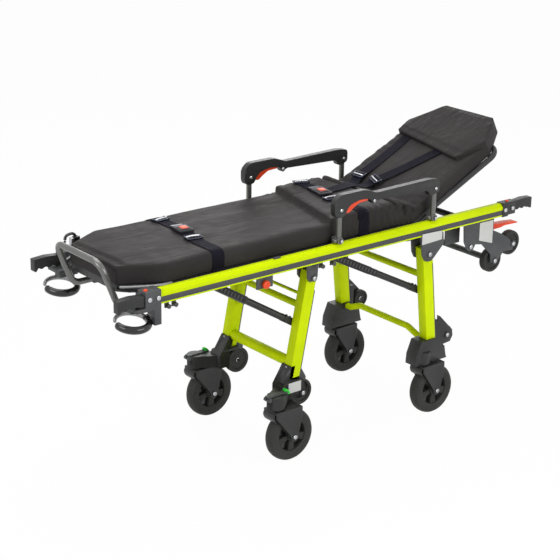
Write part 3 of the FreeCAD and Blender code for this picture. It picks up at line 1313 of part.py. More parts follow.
TRIGGER = [(0, 0.35), (0.08, 0.02), (0.2, 0), (0.62, 0.3), (0.96, 0.42), (1, 0.8), (0.85, 0.95),
           (0.6, 0.8), (0.1, 0.5)]


def armrest_trigger():
    middle = S.arm_inside + S.arm_thick / 2
    half = S.trigger_slot / 2 - S.trigger_gap
    blade = prism("side", (middle - half, middle + half),
                  form((trigger_x - S.trigger_reach, trigger_z - S.trigger_drop),
                       (S.trigger_length, S.trigger_tall), TRIGGER))
    eye = rod("y", (trigger_x, trigger_z), (middle - half, middle + half), S.trigger_eye)
    hole = rod("y", (trigger_x, trigger_z), (middle - half * 2, middle + half * 2),
               S.trigger_pin + S.pin_fit)
    return cut(fuse(blade, eye), hole)


def armrests():
    pieces = {"armrest_foot_post": armrest_post(S.arm_foot_x, S.foot_post_short),
              "armrest_head_post": armrest_post(S.arm_head_x, S.head_post_short),
              "armrest": armrest_bar(), "armrest_trigger": armrest_trigger()}
    for name, piece in pieces.items():
        node(f"left_{name}", piece)
        node(f"right_{name}", mirror(piece))


def armrest_lug(x):
    """A plate on the inner face of the rail, with the post's pin and its head."""
    plate = box((x - S.lug_half, x + S.lug_half), (S.rail_inside - S.lug_sheet, S.rail_inside),
                (lug_low, arm_low_z + S.post_boss))
    end = S.post_centre + S.post_boss_half + S.bar_gap
    pin = rod("y", (x, arm_low_z), (S.rail_inside - S.lug_sheet, end + S.bolt_head), S.arm_pin)
    head = bolt(x, arm_low_z, end)
    return fuse(plate, pin, head)


# ------------------------------------------------------------------ backrest

def pad_plan(start):
    return [(start, -S.pad_half), (S.pad_neck, -S.pad_neck_half),
            (S.pad_length, -S.pad_top_half), (S.pad_length, S.pad_top_half),
            (S.pad_neck, S.pad_neck_half), (start, S.pad_half)]


def backrest():
    """Everything here has the hinge at the origin and is then raised."""
    side = S.rest_side
    root_x = S.sleeve_radius - S.rest_wall
    points = [(root_x, side, 0), (S.rest_length, side, 0),
              (S.rest_length, -side, 0), (root_x, -side, 0)]
    hoop = bent_tube(points, S.rest_bend, S.rest_tube, S.rest_wall)
    span = (side - S.sleeve_width / 2, side + S.sleeve_width / 2)
    sleeve = rod("y", (0, 0), span, S.sleeve_radius)
    bore = rod("y", (0, 0), (side - S.sleeve_width, side + S.sleeve_width),
               S.tube_radius + S.pin_fit)
    bars = [rod("y", (S.rest_length * share, 0), (-side, side), S.rest_tube * 0.7)
            for share in (0.3, 0.7)]
    frame = fuse(hoop, sleeve, mirror(sleeve), *bars)
    pieces = [node("backrest_frame", cut(frame, bore, mirror(bore)))]
    panel_low = S.rest_tube
    panel_high = panel_low + S.rest_sheet
    inset = S.rest_tube
    panel = prism("top", (panel_low, panel_high),
                  [(S.sleeve_radius + inset, -S.pad_half + inset),
                   (S.pad_neck, -S.pad_neck_half + inset),
                   (S.pad_length - inset, -S.pad_top_half + inset),
                   (S.pad_length - inset, S.pad_top_half - inset),
                   (S.pad_neck, S.pad_neck_half - inset),
                   (S.sleeve_radius + inset, S.pad_half - inset)])
    pieces.append(node("backrest_panel", panel))
    low = panel_high + S.soft_gap
    high = low + S.pad_thick
    slant = prism("side", (-S.pad_half * 1.1, S.pad_half * 1.1),
                  [(S.pad_start, low), (S.pad_length, low), (S.pad_length, high),
                   (S.pad_start + S.pad_slant, high)])
    plan = prism("top", (low, high), pad_plan(S.pad_start))
    pieces.append(node("backrest_pad", common(slant, plan)))
    top = high + S.soft_gap
    pillow = prism("top", (top, top + S.pillow_thick),
                   [(S.pillow_start, -S.pillow_half), (S.pad_neck, -S.pad_neck_half),
                    (S.pad_length, -S.pad_top_half), (S.pad_length, S.pad_top_half),
                    (S.pad_neck, S.pad_neck_half), (S.pillow_start, S.pillow_half)])
    pieces.append(node("head_pillow", pillow))
    belt = box((S.shoulder_start, S.pillow_start - S.soft_gap),
               (S.shoulder_side - S.belt_width / 2, S.shoulder_side + S.belt_width / 2),
               (high + S.belt_gap, high + S.belt_gap + S.belt_thick))
    pieces.append(node("shoulder_belts", *both_sides(belt)))
    for piece in pieces:
        tilt(piece, S.hinge_x, hinge_z, -S.rest_angle)


def mattress():
    low = deck_top + S.soft_gap
    section = [(S.mattress_foot, low), (S.mattress_head, low),
               (S.mattress_head - S.mattress_slant, low + S.seat_thick),
               (S.seat_x + S.mattress_slant, low + S.seat_thick),
               (S.seat_x - S.mattress_slant, low + S.mattress_thick),
               (S.mattress_foot, low + S.mattress_thick)]
    block = prism("side", (-S.mattress_half, S.mattress_half), section)
    plan = prism("top", (low - S.cut_over, low + S.seat_thick + S.cut_over),
                 [(S.mattress_foot, -S.mattress_foot_half), (S.mattress_wide_x, -S.mattress_half),
                  (S.mattress_head, -S.mattress_half), (S.mattress_head, S.mattress_half),
                  (S.mattress_wide_x, S.mattress_half), (S.mattress_foot, S.mattress_foot_half)])
    node("mattress", common(block, plan))


def belt_over(x, top):
    """A belt over the mattress, down its sides to an anchor on each rail."""
    half = S.belt_width / 2
    side = S.mattress_half + S.belt_gap
    outer = side + S.belt_thick
    low_half = deck_half + S.belt_gap
    turn = deck_top + S.belt_thick
    knee = turn + low_half - side
    band = prism("front", (x - half, x + half),
                 [(-outer, top + S.belt_gap + S.belt_thick), (outer, top + S.belt_gap + S.belt_thick),
                  (outer, knee + S.belt_thick), (low_half + S.belt_thick, turn),
                  (low_half + S.belt_thick, belt_low), (low_half, belt_low),
                  (low_half, turn), (side, knee), (side, top + S.belt_gap),
                  (-side, top + S.belt_gap), (-side, knee), (-low_half, turn),
                  (-low_half, belt_low), (-low_half - S.belt_thick, belt_low),
                  (-low_half - S.belt_thick, turn), (-outer, knee + S.belt_thick)])
    anchor = box((x - half / 2, x + half / 2), (low_half + S.belt_thick, S.rail_inside),
                 (belt_low, belt_low + S.belt_anchor))
    start = top + S.belt_gap + S.belt_thick
    buckle = box((x - S.buckle_width / 2, x + S.buckle_width / 2),
                 (-S.buckle_length / 2, S.buckle_length / 2), (start, start + S.buckle_tall))
    return [band, buckle] + both_sides(anchor)


def patient_belts():
    low = deck_top + S.soft_gap
    node("patient_belts", *belt_over(S.leg_belt_x, low + S.mattress_thick),
         *belt_over(S.lap_belt_x, low + S.seat_thick))


# ------------------------------------------------------------- small fittings

def clamp_knob(x, z):
    """A small clamp screw on a tab below the right rail."""
    face = S.rail_inside + S.web
    tab = box((x - S.small_knob_radius, x + S.small_knob_radius), (S.rail_inside, face),
              (z - S.small_knob_radius, rail_bottom))
    return mirror(fuse(tab, rod("y", (x, z), (face, face + S.knob_thick), S.small_knob_radius)))


def rail_fittings():
    lugs = both_sides(armrest_lug(S.arm_foot_x), armrest_lug(S.arm_head_x))
    hangers = both_sides(hoop_hanger())
    half = S.knob_plate_half
    plate = box((S.knob_x - half, S.knob_x + half),
                (S.knob_plate_side, S.knob_plate_side + S.web),
                (knob_z - S.knob_radius, rail_bottom))
    hole = rod("y", (S.knob_x, knob_z), (S.knob_plate_side - S.cut_over,
                                           S.knob_plate_side + S.web + S.cut_over),
               S.knob_shaft + S.pin_fit)
    plate = mirror(cut(plate, hole))
    knobs = [clamp_knob(x, rail_bottom - S.small_knob_drop)
             for x in (S.seat_knob_x, S.seat_knob_x + S.seat_knob_pitch,
                       S.foot_knob_x, S.foot_knob_x + S.foot_knob_pitch)]
    carrier = mirror(box((red_lever_x - S.lug_half, red_lever_x + S.lug_half),
                         (S.rail_inside, S.rail_inside + S.lug_sheet),
                         (red_lever_z - S.lug_half, rail_bottom)))
    pin = mirror(rod("y", (red_lever_x, red_lever_z),
                     (S.red_lever_side, S.rail_inside + S.lug_sheet), S.red_lever_pin))
    side = S.rail_inside + (S.rail_width - S.bolt_head) / 2
    foot_start = S.rail_foot_end + S.loop_foot_set
    foot = box((foot_start, foot_start + S.loop_foot_length),
               (side - S.loop_foot_half, side + S.loop_foot_half),
               (S.rail_top, S.rail_top + S.post_boss))
    stand = foot_start + S.loop_foot_length * 0.6
    back = S.rail_foot_end - S.loop_back
    top = S.rail_top + S.loop_height
    wire = bent_tube([(stand, side, S.rail_top + S.post_boss / 2), (stand, side, top),
                      (back, side, top - S.bolt_head), (back, side, top - S.loop_drop)],
                     S.bolt_head_radius, S.bolt_head, S.bolt_head / 2)
    latch_x = S.knob_x + S.latch_set
    latch = mirror(box((latch_x - S.latch_half, latch_x + S.latch_half),
                       (side - S.loop_foot_half, side + S.cut_over),
                       (S.rail_top, S.rail_top + S.latch_tall)))
    node("rail_fittings", *lugs, *hangers, plate, *knobs, fuse(carrier, pin), fuse(foot, wire),
         latch)


def red_knob():
    face = S.knob_plate_side + S.web + S.bar_gap
    disc = rod("y", (S.knob_x, knob_z), (face, face + S.knob_thick), S.knob_radius)
    shaft = rod("y", (S.knob_x, knob_z), (S.knob_plate_side - S.knob_travel * 2, face + S.cut_over),
                S.knob_shaft)
    node("red_knob", mirror(fuse(disc, shaft)))


RED_LEVER = [(-0.06, 0.85), (-0.06, 0.1), (0.42, 0.14), (0.55, 0.3), (1, 0.22), (0.98, 0.42),
             (0.72, 0.6), (0.4, 0.7), (0.12, 0.95)]


def red_lever():
    low = red_lever_z - S.lug_half
    inner = S.red_lever_side + S.red_lever_gap
    outer = inner + S.red_lever_width
    blade = prism("side", (inner, outer),
                  form((red_lever_x, low), (S.red_lever_length, S.lug_half * 2), RED_LEVER))
    eye = rod("y", (red_lever_x, red_lever_z), (inner, outer), S.tab_eye)
    hole = rod("y", (red_lever_x, red_lever_z), (inner - S.cut_over, outer + S.cut_over),
               S.red_lever_pin + S.pin_fit)
    node("red_release_lever", mirror(cut(fuse(blade, eye), hole)))


def frame_bolts():
    """The bolt heads on the outer faces of the collars and the rails."""
    middle = rail_bottom + S.rail_height / 2
    places = [(S.foot_button_x + S.foot_bolt_set, middle, collar_out),
              (S.collar_foot_start - S.collar_bolt_set, middle, collar_out),
              (S.collar_head_start + S.collar_bolt_set, middle, collar_out),
              (S.head_button_x + S.head_bolt_set, middle, rail_outside + S.collar_thin)]
    node("frame_bolts", *both_sides(*[bolt(x, z, face) for x, z, face in places]))


# --------------------------------------------------------------------- build

def build():
    side_rails()
    cross_tubes()
    deck_panel()
    foot_end_castings()
    head_end_collars()
    push_hoop()
    leg_brackets()
    rail_fittings()
    load_wheel_frame()
    mattress()
    patient_belts()
    frame_bolts()
    backrest()
    head_leg_frame()
    head_leg_castings()
    foot_leg_frame()
    foot_leg_castings()
    braces()
    casters()
    guide_and_load_wheels()
    brake_pedals()
    armrests()
    handles()
    release_buttons()
    release_rings()
    red_lever()
    red_knob()


def check_document():
    """Stops before anything is written if a feature failed or a piece is bad."""
    doc.recompute()
    failed = [item.Name for item in doc.Objects
              if {"Invalid", "Error"} & set(item.State)]
    bad = [item.Label for item in NODES if item.Shape.isNull() or not item.Shape.isValid()]
    if failed or bad:
        raise RuntimeError(f"failed features {failed}, bad pieces {bad}")


def write_parts():
    os.makedirs("parts", exist_ok=True)
    for item in NODES:
        item.Shape.exportStep(os.path.join("parts", f"{item.Label}.step"))
        limits = item.Shape.BoundBox
        print(f"{item.Label:28s} {len(item.Shape.Solids):3d} solids "
              f"x {limits.XMin:7.1f} {limits.XMax:7.1f} y {limits.YMin:7.1f} {limits.YMax:7.1f} "
              f"z {limits.ZMin:7.1f} {limits.ZMax:7.1f}")
    print(len(NODES), "nodes")


build()
check_document()
write_parts()
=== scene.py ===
# %% [markdown]
# # A stretcher trolley, dressed in Blender
#
# The trolley comes in as a finished engineering model: every tube, casting, wheel and pin is
# already at its real size and place. This lesson gives it the looks. It rounds the hard edges,
# models the vinyl cushion, the belts and the wheels, and mixes a finish for each material.
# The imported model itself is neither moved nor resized.

# %% Load the frame
import json
import math

import bmesh
import bpy
from mathutils import Matrix, Quaternion, Vector, noise
from mathutils.bvhtree import BVHTree

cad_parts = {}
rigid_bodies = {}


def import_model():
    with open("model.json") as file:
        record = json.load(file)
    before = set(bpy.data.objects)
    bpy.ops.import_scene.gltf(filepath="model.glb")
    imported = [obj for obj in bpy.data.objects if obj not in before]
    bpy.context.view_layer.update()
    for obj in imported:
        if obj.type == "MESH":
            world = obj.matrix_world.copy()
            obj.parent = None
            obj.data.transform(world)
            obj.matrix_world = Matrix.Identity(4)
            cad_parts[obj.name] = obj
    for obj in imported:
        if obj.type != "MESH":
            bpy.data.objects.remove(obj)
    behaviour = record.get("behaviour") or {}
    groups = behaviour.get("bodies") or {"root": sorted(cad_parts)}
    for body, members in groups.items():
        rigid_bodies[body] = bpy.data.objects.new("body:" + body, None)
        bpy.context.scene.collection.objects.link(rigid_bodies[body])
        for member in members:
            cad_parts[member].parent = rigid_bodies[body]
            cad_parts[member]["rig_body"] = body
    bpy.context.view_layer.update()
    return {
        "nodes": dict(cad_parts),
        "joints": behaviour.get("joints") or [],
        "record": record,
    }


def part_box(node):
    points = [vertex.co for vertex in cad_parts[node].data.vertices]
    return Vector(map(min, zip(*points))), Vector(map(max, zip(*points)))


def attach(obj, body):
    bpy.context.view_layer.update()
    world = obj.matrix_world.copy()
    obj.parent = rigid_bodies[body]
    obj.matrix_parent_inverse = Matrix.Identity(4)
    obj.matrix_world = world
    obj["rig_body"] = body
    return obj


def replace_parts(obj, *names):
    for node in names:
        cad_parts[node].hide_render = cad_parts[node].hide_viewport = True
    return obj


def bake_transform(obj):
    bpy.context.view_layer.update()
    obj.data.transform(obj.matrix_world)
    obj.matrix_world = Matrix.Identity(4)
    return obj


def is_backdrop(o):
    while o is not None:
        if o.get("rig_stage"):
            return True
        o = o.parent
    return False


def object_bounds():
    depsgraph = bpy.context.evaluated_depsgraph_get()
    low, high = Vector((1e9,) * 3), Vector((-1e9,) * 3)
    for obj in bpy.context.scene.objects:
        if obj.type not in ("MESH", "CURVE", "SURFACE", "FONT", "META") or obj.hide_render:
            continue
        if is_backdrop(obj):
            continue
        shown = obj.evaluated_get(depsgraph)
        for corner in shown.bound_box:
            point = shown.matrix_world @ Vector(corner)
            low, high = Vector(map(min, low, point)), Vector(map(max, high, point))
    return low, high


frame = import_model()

nodes = frame["nodes"]
scene = bpy.context.scene

# %% [markdown]
# ## The camera
#
# The trolley is seen from its foot end and its right side, from a little above. A long lens
# keeps the near and far wheels close in size. The camera is placed by the point it looks at, two
# angles and a distance, which is easier to adjust than a matrix, and a small roll is added last.

# %% Camera
LOOK_AT = Vector((-0.075, -0.0011, 0.5977))
AZIMUTH = math.radians(-39.35)
ELEVATION = math.radians(19.75)
DISTANCE = 5.890
ROLL = math.radians(0.921)
LENS = 101.2


def add_object(name, data):
    """Puts a new object into the scene."""
    thing = bpy.data.objects.new(name, data)
    scene.collection.objects.link(thing)
    return thing


backwards = Vector((math.sin(AZIMUTH) * math.cos(ELEVATION),
                    -math.cos(AZIMUTH) * math.cos(ELEVATION), math.sin(ELEVATION)))
camera = add_object("Camera", bpy.data.cameras.new("Camera"))
camera.data.sensor_width = 36
camera.data.lens = LENS
camera.location = LOOK_AT + backwards * DISTANCE
camera.rotation_mode = "QUATERNION"
camera.rotation_quaternion = ((-backwards).to_track_quat("-Z", "Y")
                              @ Quaternion((0, 0, 1), ROLL))
scene.camera = camera
print("camera at", [round(value, 3) for value in camera.location])

# %% [markdown]
# ## The studio
#
# A product is lit with large soft lamps, so that rounded edges and vinyl show broad, gentle
# highlights. One lamp hangs over the trolley, three stand round it, and a pale world fills the
# shadows. The floor is white to the camera, and still takes the shadow of the trolley.

# %% Lamps, world and floor
def feed(tree, node, sockets):
    """Gives the inputs of a shader node their values or their links."""
    for name, value in sockets.items():
        if isinstance(value, bpy.types.NodeSocket):
            tree.links.new(value, node.inputs[name])
        else:
            node.inputs[name].default_value = value


def wire(tree, kind, sockets=None, **settings):
    """A new shader node with its settings, its values and its links."""
    node = tree.nodes.new(kind)
    for name, value in settings.items():
        setattr(node, name, value)
    feed(tree, node, sockets or {})
    return node


def mesh_of(name, form):
    mesh = bpy.data.meshes.new(name)
    form.to_mesh(mesh)
    return mesh


def lamp(name, place, aim, size, power):
    """A square soft lamp at a place, turned towards a point."""
    light = bpy.data.lights.new(name, "AREA")
    light.shape = "RECTANGLE"
    light.size, light.size_y = size
    light.energy = power
    thing = add_object(name, light)
    thing.location = place
    thing.rotation_mode = "QUATERNION"
    thing.rotation_quaternion = (Vector(aim) - Vector(place)).to_track_quat("-Z", "Y")


lamp("Lamp_over", (-0.2, 0.6, 3.4), (0, 0, 0.6), (3.2, 2.2), 60)
lamp("Lamp_foot", (-4.2, -0.6, 2.2), (0, 0, 0.6), (2.0, 2.0), 52)
lamp("Lamp_right", (0.6, -4.2, 1.7), (0, 0, 0.5), (2.8, 1.8), 76)
lamp("Lamp_back", (2.6, 3.2, 2.4), (0, 0, 0.7), (2.4, 1.6), 34)


def is_seen(tree):
    """1 for rays from the camera and for reflected or refracted rays, and 0 for others."""
    path = tree.nodes.new("ShaderNodeLightPath").outputs
    total = path["Is Camera Ray"]
    for name in ("Is Glossy Ray", "Is Transmission Ray"):
        total = wire(tree, "ShaderNodeMath", {0: total, 1: path[name]},
                     operation="MAXIMUM").outputs[0]
    return total


WORLD_FILL = 0.40
FLOOR_RADIUS = 60
FLOOR_DROP = 0.0005
FLOOR_TONE = 0.86
FLOOR_GLOW = 0.97
world = bpy.data.worlds.new("Studio")
scene.world = world
world.use_nodes = True
tree = world.node_tree
strength = wire(tree, "ShaderNodeMix", {"Factor": is_seen(tree), "A": WORLD_FILL, "B": 1.0})
feed(tree, tree.nodes["Background"], {"Color": (1, 1, 1, 1),
                                      "Strength": strength.outputs["Result"]})

floor_form = bmesh.new()
bmesh.ops.create_circle(floor_form, cap_ends=True, segments=96, radius=FLOOR_RADIUS)
floor = add_object("Floor", mesh_of("Floor", floor_form))
floor.location.z = -FLOOR_DROP
paper = bpy.data.materials.new("floor_paper")
paper.use_nodes = True
tree = paper.node_tree
matt = tree.nodes["Principled BSDF"]
feed(tree, matt, {"Base Color": (FLOOR_TONE, FLOOR_TONE, FLOOR_TONE, 1), "Roughness": 0.9})
glow = wire(tree, "ShaderNodeEmission")
share = wire(tree, "ShaderNodeMath", {0: is_seen(tree), 1: FLOOR_GLOW}, operation="MULTIPLY")
blend_in = wire(tree, "ShaderNodeMixShader", {0: share.outputs[0], 1: matt.outputs[0],
                                              2: glow.outputs[0]})
feed(tree, tree.nodes["Material Output"], {"Surface": blend_in.outputs[0]})
floor.data.materials.append(paper)
floor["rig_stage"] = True
scene.view_settings.view_transform = "Standard"
print("studio with", len(bpy.data.lights), "lamps")

# %% [markdown]
# ## Mixing a finish
#
# Painted metal, cast metal, plastic and rubber differ in colour, gloss and grain, but they are
# built the same way: a base colour that varies a little from place to place, a fine grain in
# the surface, and a rubbed look along the edges. One function makes them all from named values.
# The rubbed edges come from a mark that the rounding step leaves on each rounded face.

# %% A finish with grain, drift and rubbed edges
FINISH = {}


def linear(colour):
    """A colour given as it looks on a screen, from 0 to 255, as the renderer wants it."""
    def straight(value):
        value /= 255
        return value / 12.92 if value <= 0.04045 else ((value + 0.055) / 1.055) ** 2.4
    return (*(straight(value) for value in colour), 1)


def start_material(name):
    """Starts a material; returns its nodes, its shader and the place on the piece."""
    material = bpy.data.materials.new(name)
    material.use_nodes = True
    FINISH[name] = material
    tree = material.node_tree
    place = tree.nodes.new("ShaderNodeTexCoord").outputs["Object"]
    return tree, tree.nodes["Principled BSDF"], place


def colour_mix(tree, factor, first, second):
    mixed = wire(tree, "ShaderNodeMix", data_type="RGBA")
    feed(tree, mixed, {0: factor, 6: first, 7: second})
    return mixed.outputs[2]


def ramp(tree, value, low, high, start=0.0, end=1.0):
    return wire(tree, "ShaderNodeMapRange", {"Value": value, "From Min": low, "From Max": high,
                                             "To Min": start, "To Max": end}).outputs["Result"]


def clouds(tree, place, scale, detail, distortion=0.0):
    return wire(tree, "ShaderNodeTexNoise", {"Vector": place, "Scale": scale, "Detail": detail,
                                             "Distortion": distortion}).outputs["Fac"]


def relief(tree, height, strength, distance, **more):
    return wire(tree, "ShaderNodeBump", {"Height": height, "Strength": strength,
                                         "Distance": distance, **more}).outputs["Normal"]


def finish(name, colour, shade, rubbed, gloss, metal=0.0, grain=900.0, depth=0.15,
           drift=9.0, coat=0.0, wear=0.5, shine=0.35):
    """A hard finish. shade is its darker tone and rubbed its tone along worn edges."""
    tree, shader, place = start_material(name)
    base = colour_mix(tree, ramp(tree, clouds(tree, place, drift, 3.0), 0.35, 0.68),
                      linear(colour), linear(shade))
    edge = wire(tree, "ShaderNodeAttribute", attribute_name="edge").outputs["Fac"]
    scuff = clouds(tree, place, 60.0, 4.0)
    rub = wire(tree, "ShaderNodeMath", {0: edge, 1: ramp(tree, scuff, 0.45, 0.7, 0, wear)},
               operation="MULTIPLY")
    feed(tree, shader, {
        "Base Color": colour_mix(tree, rub.outputs[0], base, linear(rubbed)),
        "Roughness": ramp(tree, scuff, 0.3, 0.7, gloss - 0.05, gloss + 0.06),
        "Normal": relief(tree, clouds(tree, place, grain, 2.0), depth, 0.0006),
        "Metallic": metal, "Coat Weight": coat, "Coat Roughness": 0.12,
        "Specular IOR Level": shine})


finish("yellow_paint", (214, 236, 0), (202, 226, 0), (226, 240, 60), 0.45, depth=0.08, wear=0.3,
       shine=0.08)
finish("rail_strip", (72, 72, 74), (64, 64, 66), (110, 110, 112), 0.5, grain=1400, depth=0.2)
finish("steel_tube", (116, 116, 115), (106, 106, 105), (150, 150, 148), 0.27, metal=0.6,
       grain=700, depth=0.05, wear=0.15)
finish("grey_casting", (74, 75, 76), (62, 63, 65), (118, 118, 118), 0.45, grain=1100, depth=0.35)
finish("zinc_steel", (205, 205, 208), (180, 181, 186), (235, 235, 238), 0.25, metal=0.85,
       depth=0.05)
finish("black_plastic", (42, 43, 42), (34, 35, 34), (88, 88, 88), 0.4, grain=1300, depth=0.3)
finish("orange_plastic", (238, 78, 34), (226, 66, 28), (248, 130, 90), 0.35, depth=0.1)
finish("green_plastic", (44, 200, 52), (34, 184, 44), (120, 226, 120), 0.35, depth=0.1)
finish("tyre", (56, 56, 54), (49, 49, 47), (84, 84, 80), 0.6, grain=600, depth=0.35, drift=14,
       wear=0.7, shine=0.2)
finish("dark_sheet", (50, 50, 52), (42, 42, 44), (96, 96, 98), 0.42, grain=1000, depth=0.25)
print(len(FINISH), "hard finishes")

# %% [markdown]
# ## Rounding the hard pieces
#
# No real edge is perfectly sharp, and it is the thin bright line along each edge that makes a
# casting or a tube look solid. Each hard piece is copied, its triangles are joined into whole
# faces, and every sharp edge gets a small round. The copy then stands for the plain piece.

# %% Round the edges of a piece
SHARP = math.radians(32)


def islands(form):
    """The separate closed forms in a mesh, as lists of edges."""
    left = set(form.edges)
    while left:
        seed = left.pop()
        group = {seed}
        reach = [seed]
        while reach:
            edge = reach.pop()
            for corner in edge.verts:
                for other in corner.link_edges:
                    if other not in group:
                        group.add(other)
                        reach.append(other)
        left -= group
        yield list(group)


def bevel(form, edges, width, steps):
    return bmesh.ops.bevel(form, geom=edges, offset=width, offset_type="OFFSET", segments=steps,
                           profile=0.5, affect="EDGES", clamp_overlap=True)


def round_edges(form, width):
    """Rounds every sharp edge and marks the new faces, so that a finish can rub them."""
    mark = form.faces.layers.float.get("edge") or form.faces.layers.float.new("edge")
    for group in list(islands(form)):
        sharp = [edge for edge in group if edge.is_valid and edge.is_manifold
                 and edge.calc_face_angle(0) > SHARP]
        if not sharp:
            continue
        for face in bevel(form, sharp, width, 2)["faces"]:
            face[mark] = 1.0


def new_piece(name, form, finish_name, body, sharp=35):
    """Turns a form into a shaded piece with a finish, held by a body if one is given."""
    mesh = mesh_of(name, form)
    form.free()
    mesh.shade_smooth()
    mesh.set_sharp_from_angle(angle=math.radians(sharp))
    piece = add_object(name, mesh)
    mesh.materials.append(FINISH[finish_name])
    if body:
        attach(piece, body)
    return piece


def node_form(node):
    """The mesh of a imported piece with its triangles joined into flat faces."""
    form = bmesh.new()
    form.from_mesh(nodes[node].data)
    bmesh.ops.remove_doubles(form, verts=form.verts, dist=1e-5)
    bmesh.ops.dissolve_limit(form, angle_limit=math.radians(1.0), verts=form.verts,
                             edges=form.edges)
    return form


def rounded(node, width, finish_name, trim=None):
    """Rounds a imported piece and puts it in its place; trim may first cut something off it."""
    form = node_form(node)
    before = len(form.faces)
    if trim:
        trim(form)
    round_edges(form, width)
    piece = new_piece(f"{node}_round", form, finish_name, nodes[node]["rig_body"])
    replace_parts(piece, node)
    print(node, before, "faces, rounded to", len(piece.data.polygons))
    return piece


ROUNDING = {
    ("yellow_paint", 0.0012): ["side_rails"],
    ("yellow_paint", 0.0016): ["head_leg_frame", "foot_leg_frame"],
    ("rail_strip", 0.0006): ["rail_strips"],
    ("dark_sheet", 0.0006): ["frame_cross_tubes", "backrest_frame"],
    ("dark_sheet", 0.0008): ["deck_panel"],
    ("dark_sheet", 0.0005): ["backrest_panel"],
    ("black_plastic", 0.002): ["head_end_collars"],
    ("black_plastic", 0.003): ["head_leg_castings"],
    ("black_plastic", 0.001): ["foot_brace_tubes", "foot_brace_rods", "head_brace_tubes",
                               "head_brace_rods"],
    ("steel_tube", 0.0006): ["foot_hoop"],
    ("grey_casting", 0.0012): ["leg_brackets", "load_wheel_frame"],
    ("zinc_steel", 0.0006): ["frame_bolts"],
    ("orange_plastic", 0.003): ["red_release_lever", "red_knob"],
    ("orange_plastic", 0.0015): ["left_foot_button", "left_head_button", "right_foot_button",
                                 "right_head_button"],
}
for (finish_name, width), names in ROUNDING.items():
    for node in names:
        rounded(node, width, finish_name)

# %% [markdown]
# ## Three pieces, trimmed
#
# The plain model simplifies some pieces. The foot casting hangs a long release post below the
# rail, which is only a short stub on the real one. The caster arm clamps the leg from inside,
# and leaves its painted outer face open almost down to its end. The thin wire loop on the rail
# makes way for a thicker hook. All three are trimmed here.

# %% Trim the posts, the clamps and the loop
POST_X, STUB_END = -0.858, 0.722
HOUSING_FRONT = -0.319
ARM_CLAMP_LOW, CLAMP_STEP = 0.287, 0.002
CLAMP_DEPTH, CLAMP_INSET = 0.012, 0.0008
LOOP_X, LOOP_TOP = -0.7, 0.84
LEG_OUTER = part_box("foot_leg_frame")[1].y


def shorten_posts(form):
    """Ends the release posts as short stubs."""
    for vertex in form.verts:
        if vertex.co.x < POST_X and vertex.co.z < STUB_END:
            vertex.co.z = STUB_END


def open_clamps(form):
    """Draws the clamps in behind the outer faces of the legs."""
    for height in (ARM_CLAMP_LOW, ARM_CLAMP_LOW + CLAMP_STEP):
        bmesh.ops.bisect_plane(form, geom=list(form.verts) + list(form.edges) + list(form.faces),
                               plane_co=(0, 0, height), plane_no=(0, 0, 1))
    for vertex in form.verts:
        vertex.co.x = max(vertex.co.x, HOUSING_FRONT)
        outside = LEG_OUTER < abs(vertex.co.y) < LEG_OUTER + CLAMP_DEPTH
        if outside and vertex.co.z > ARM_CLAMP_LOW + CLAMP_STEP / 2:
            vertex.co.y = math.copysign(LEG_OUTER - CLAMP_INSET, vertex.co.y)


def drop_loop(form):
    """Takes the wire loop off the far rail."""
    for group in list(islands(form)):
        points = list({point for edge in group for point in edge.verts})
        high = max(point.co.z for point in points)
        if high > LOOP_TOP and max(point.co.x for point in points) < LOOP_X:
            bmesh.ops.delete(form, geom=points, context="VERTS")


rounded("rail_fittings", 0.0008, "grey_casting", drop_loop)
rounded("foot_end_castings", 0.003, "grey_casting", shorten_posts)
rounded("foot_leg_castings", 0.002, "black_plastic", open_clamps)

# %% [markdown]
# ## Vinyl
#
# The cushion cover is coated fabric: very dark grey, faintly warm, with a fine leather grain and
# soft creases. The grain is a small cell pattern, and a wide, drawn-out noise pushes the surface
# in and out a little, the way thin vinyl lies over foam. Two more vary its tone and its gloss.

# %% The vinyl finish
tree, shader, place = start_material("vinyl")
drift = ramp(tree, clouds(tree, place, 5.0, 4.0), 0.35, 0.7)
cells = wire(tree, "ShaderNodeTexVoronoi", {"Vector": place, "Scale": 620.0},
             feature="SMOOTH_F1").outputs["Distance"]
long_way = wire(tree, "ShaderNodeMapping", {"Vector": place, "Scale": (3.0, 9.0, 9.0)})
crease = clouds(tree, long_way.outputs["Vector"], 2.2, 3.0, 0.6)
soft = relief(tree, crease, 0.5, 0.012)
feed(tree, shader, {
    "Base Color": colour_mix(tree, drift, linear((57, 54, 54)), linear((49, 47, 47))),
    "Normal": relief(tree, cells, 0.25, 0.0005, Normal=soft),
    "Roughness": ramp(tree, clouds(tree, place, 26.0, 3.0), 0.3, 0.7, 0.46, 0.56),
    "Specular IOR Level": 0.04})
print("vinyl mixed")

# %% [markdown]
# ## The cushion, laid out flat
#
# The mattress and the backrest share one cover, so they are one cushion here, and it bends where
# the backrest is hinged. It is easiest to build it flat, as it is sewn, and to bend it last. Rings
# of points run round the cushion at many stations from the foot to the head. Each ring has the
# width and the height of the cushion at that station. The step up to the seat runs slightly
# askew, so the stations near it are turned with it.

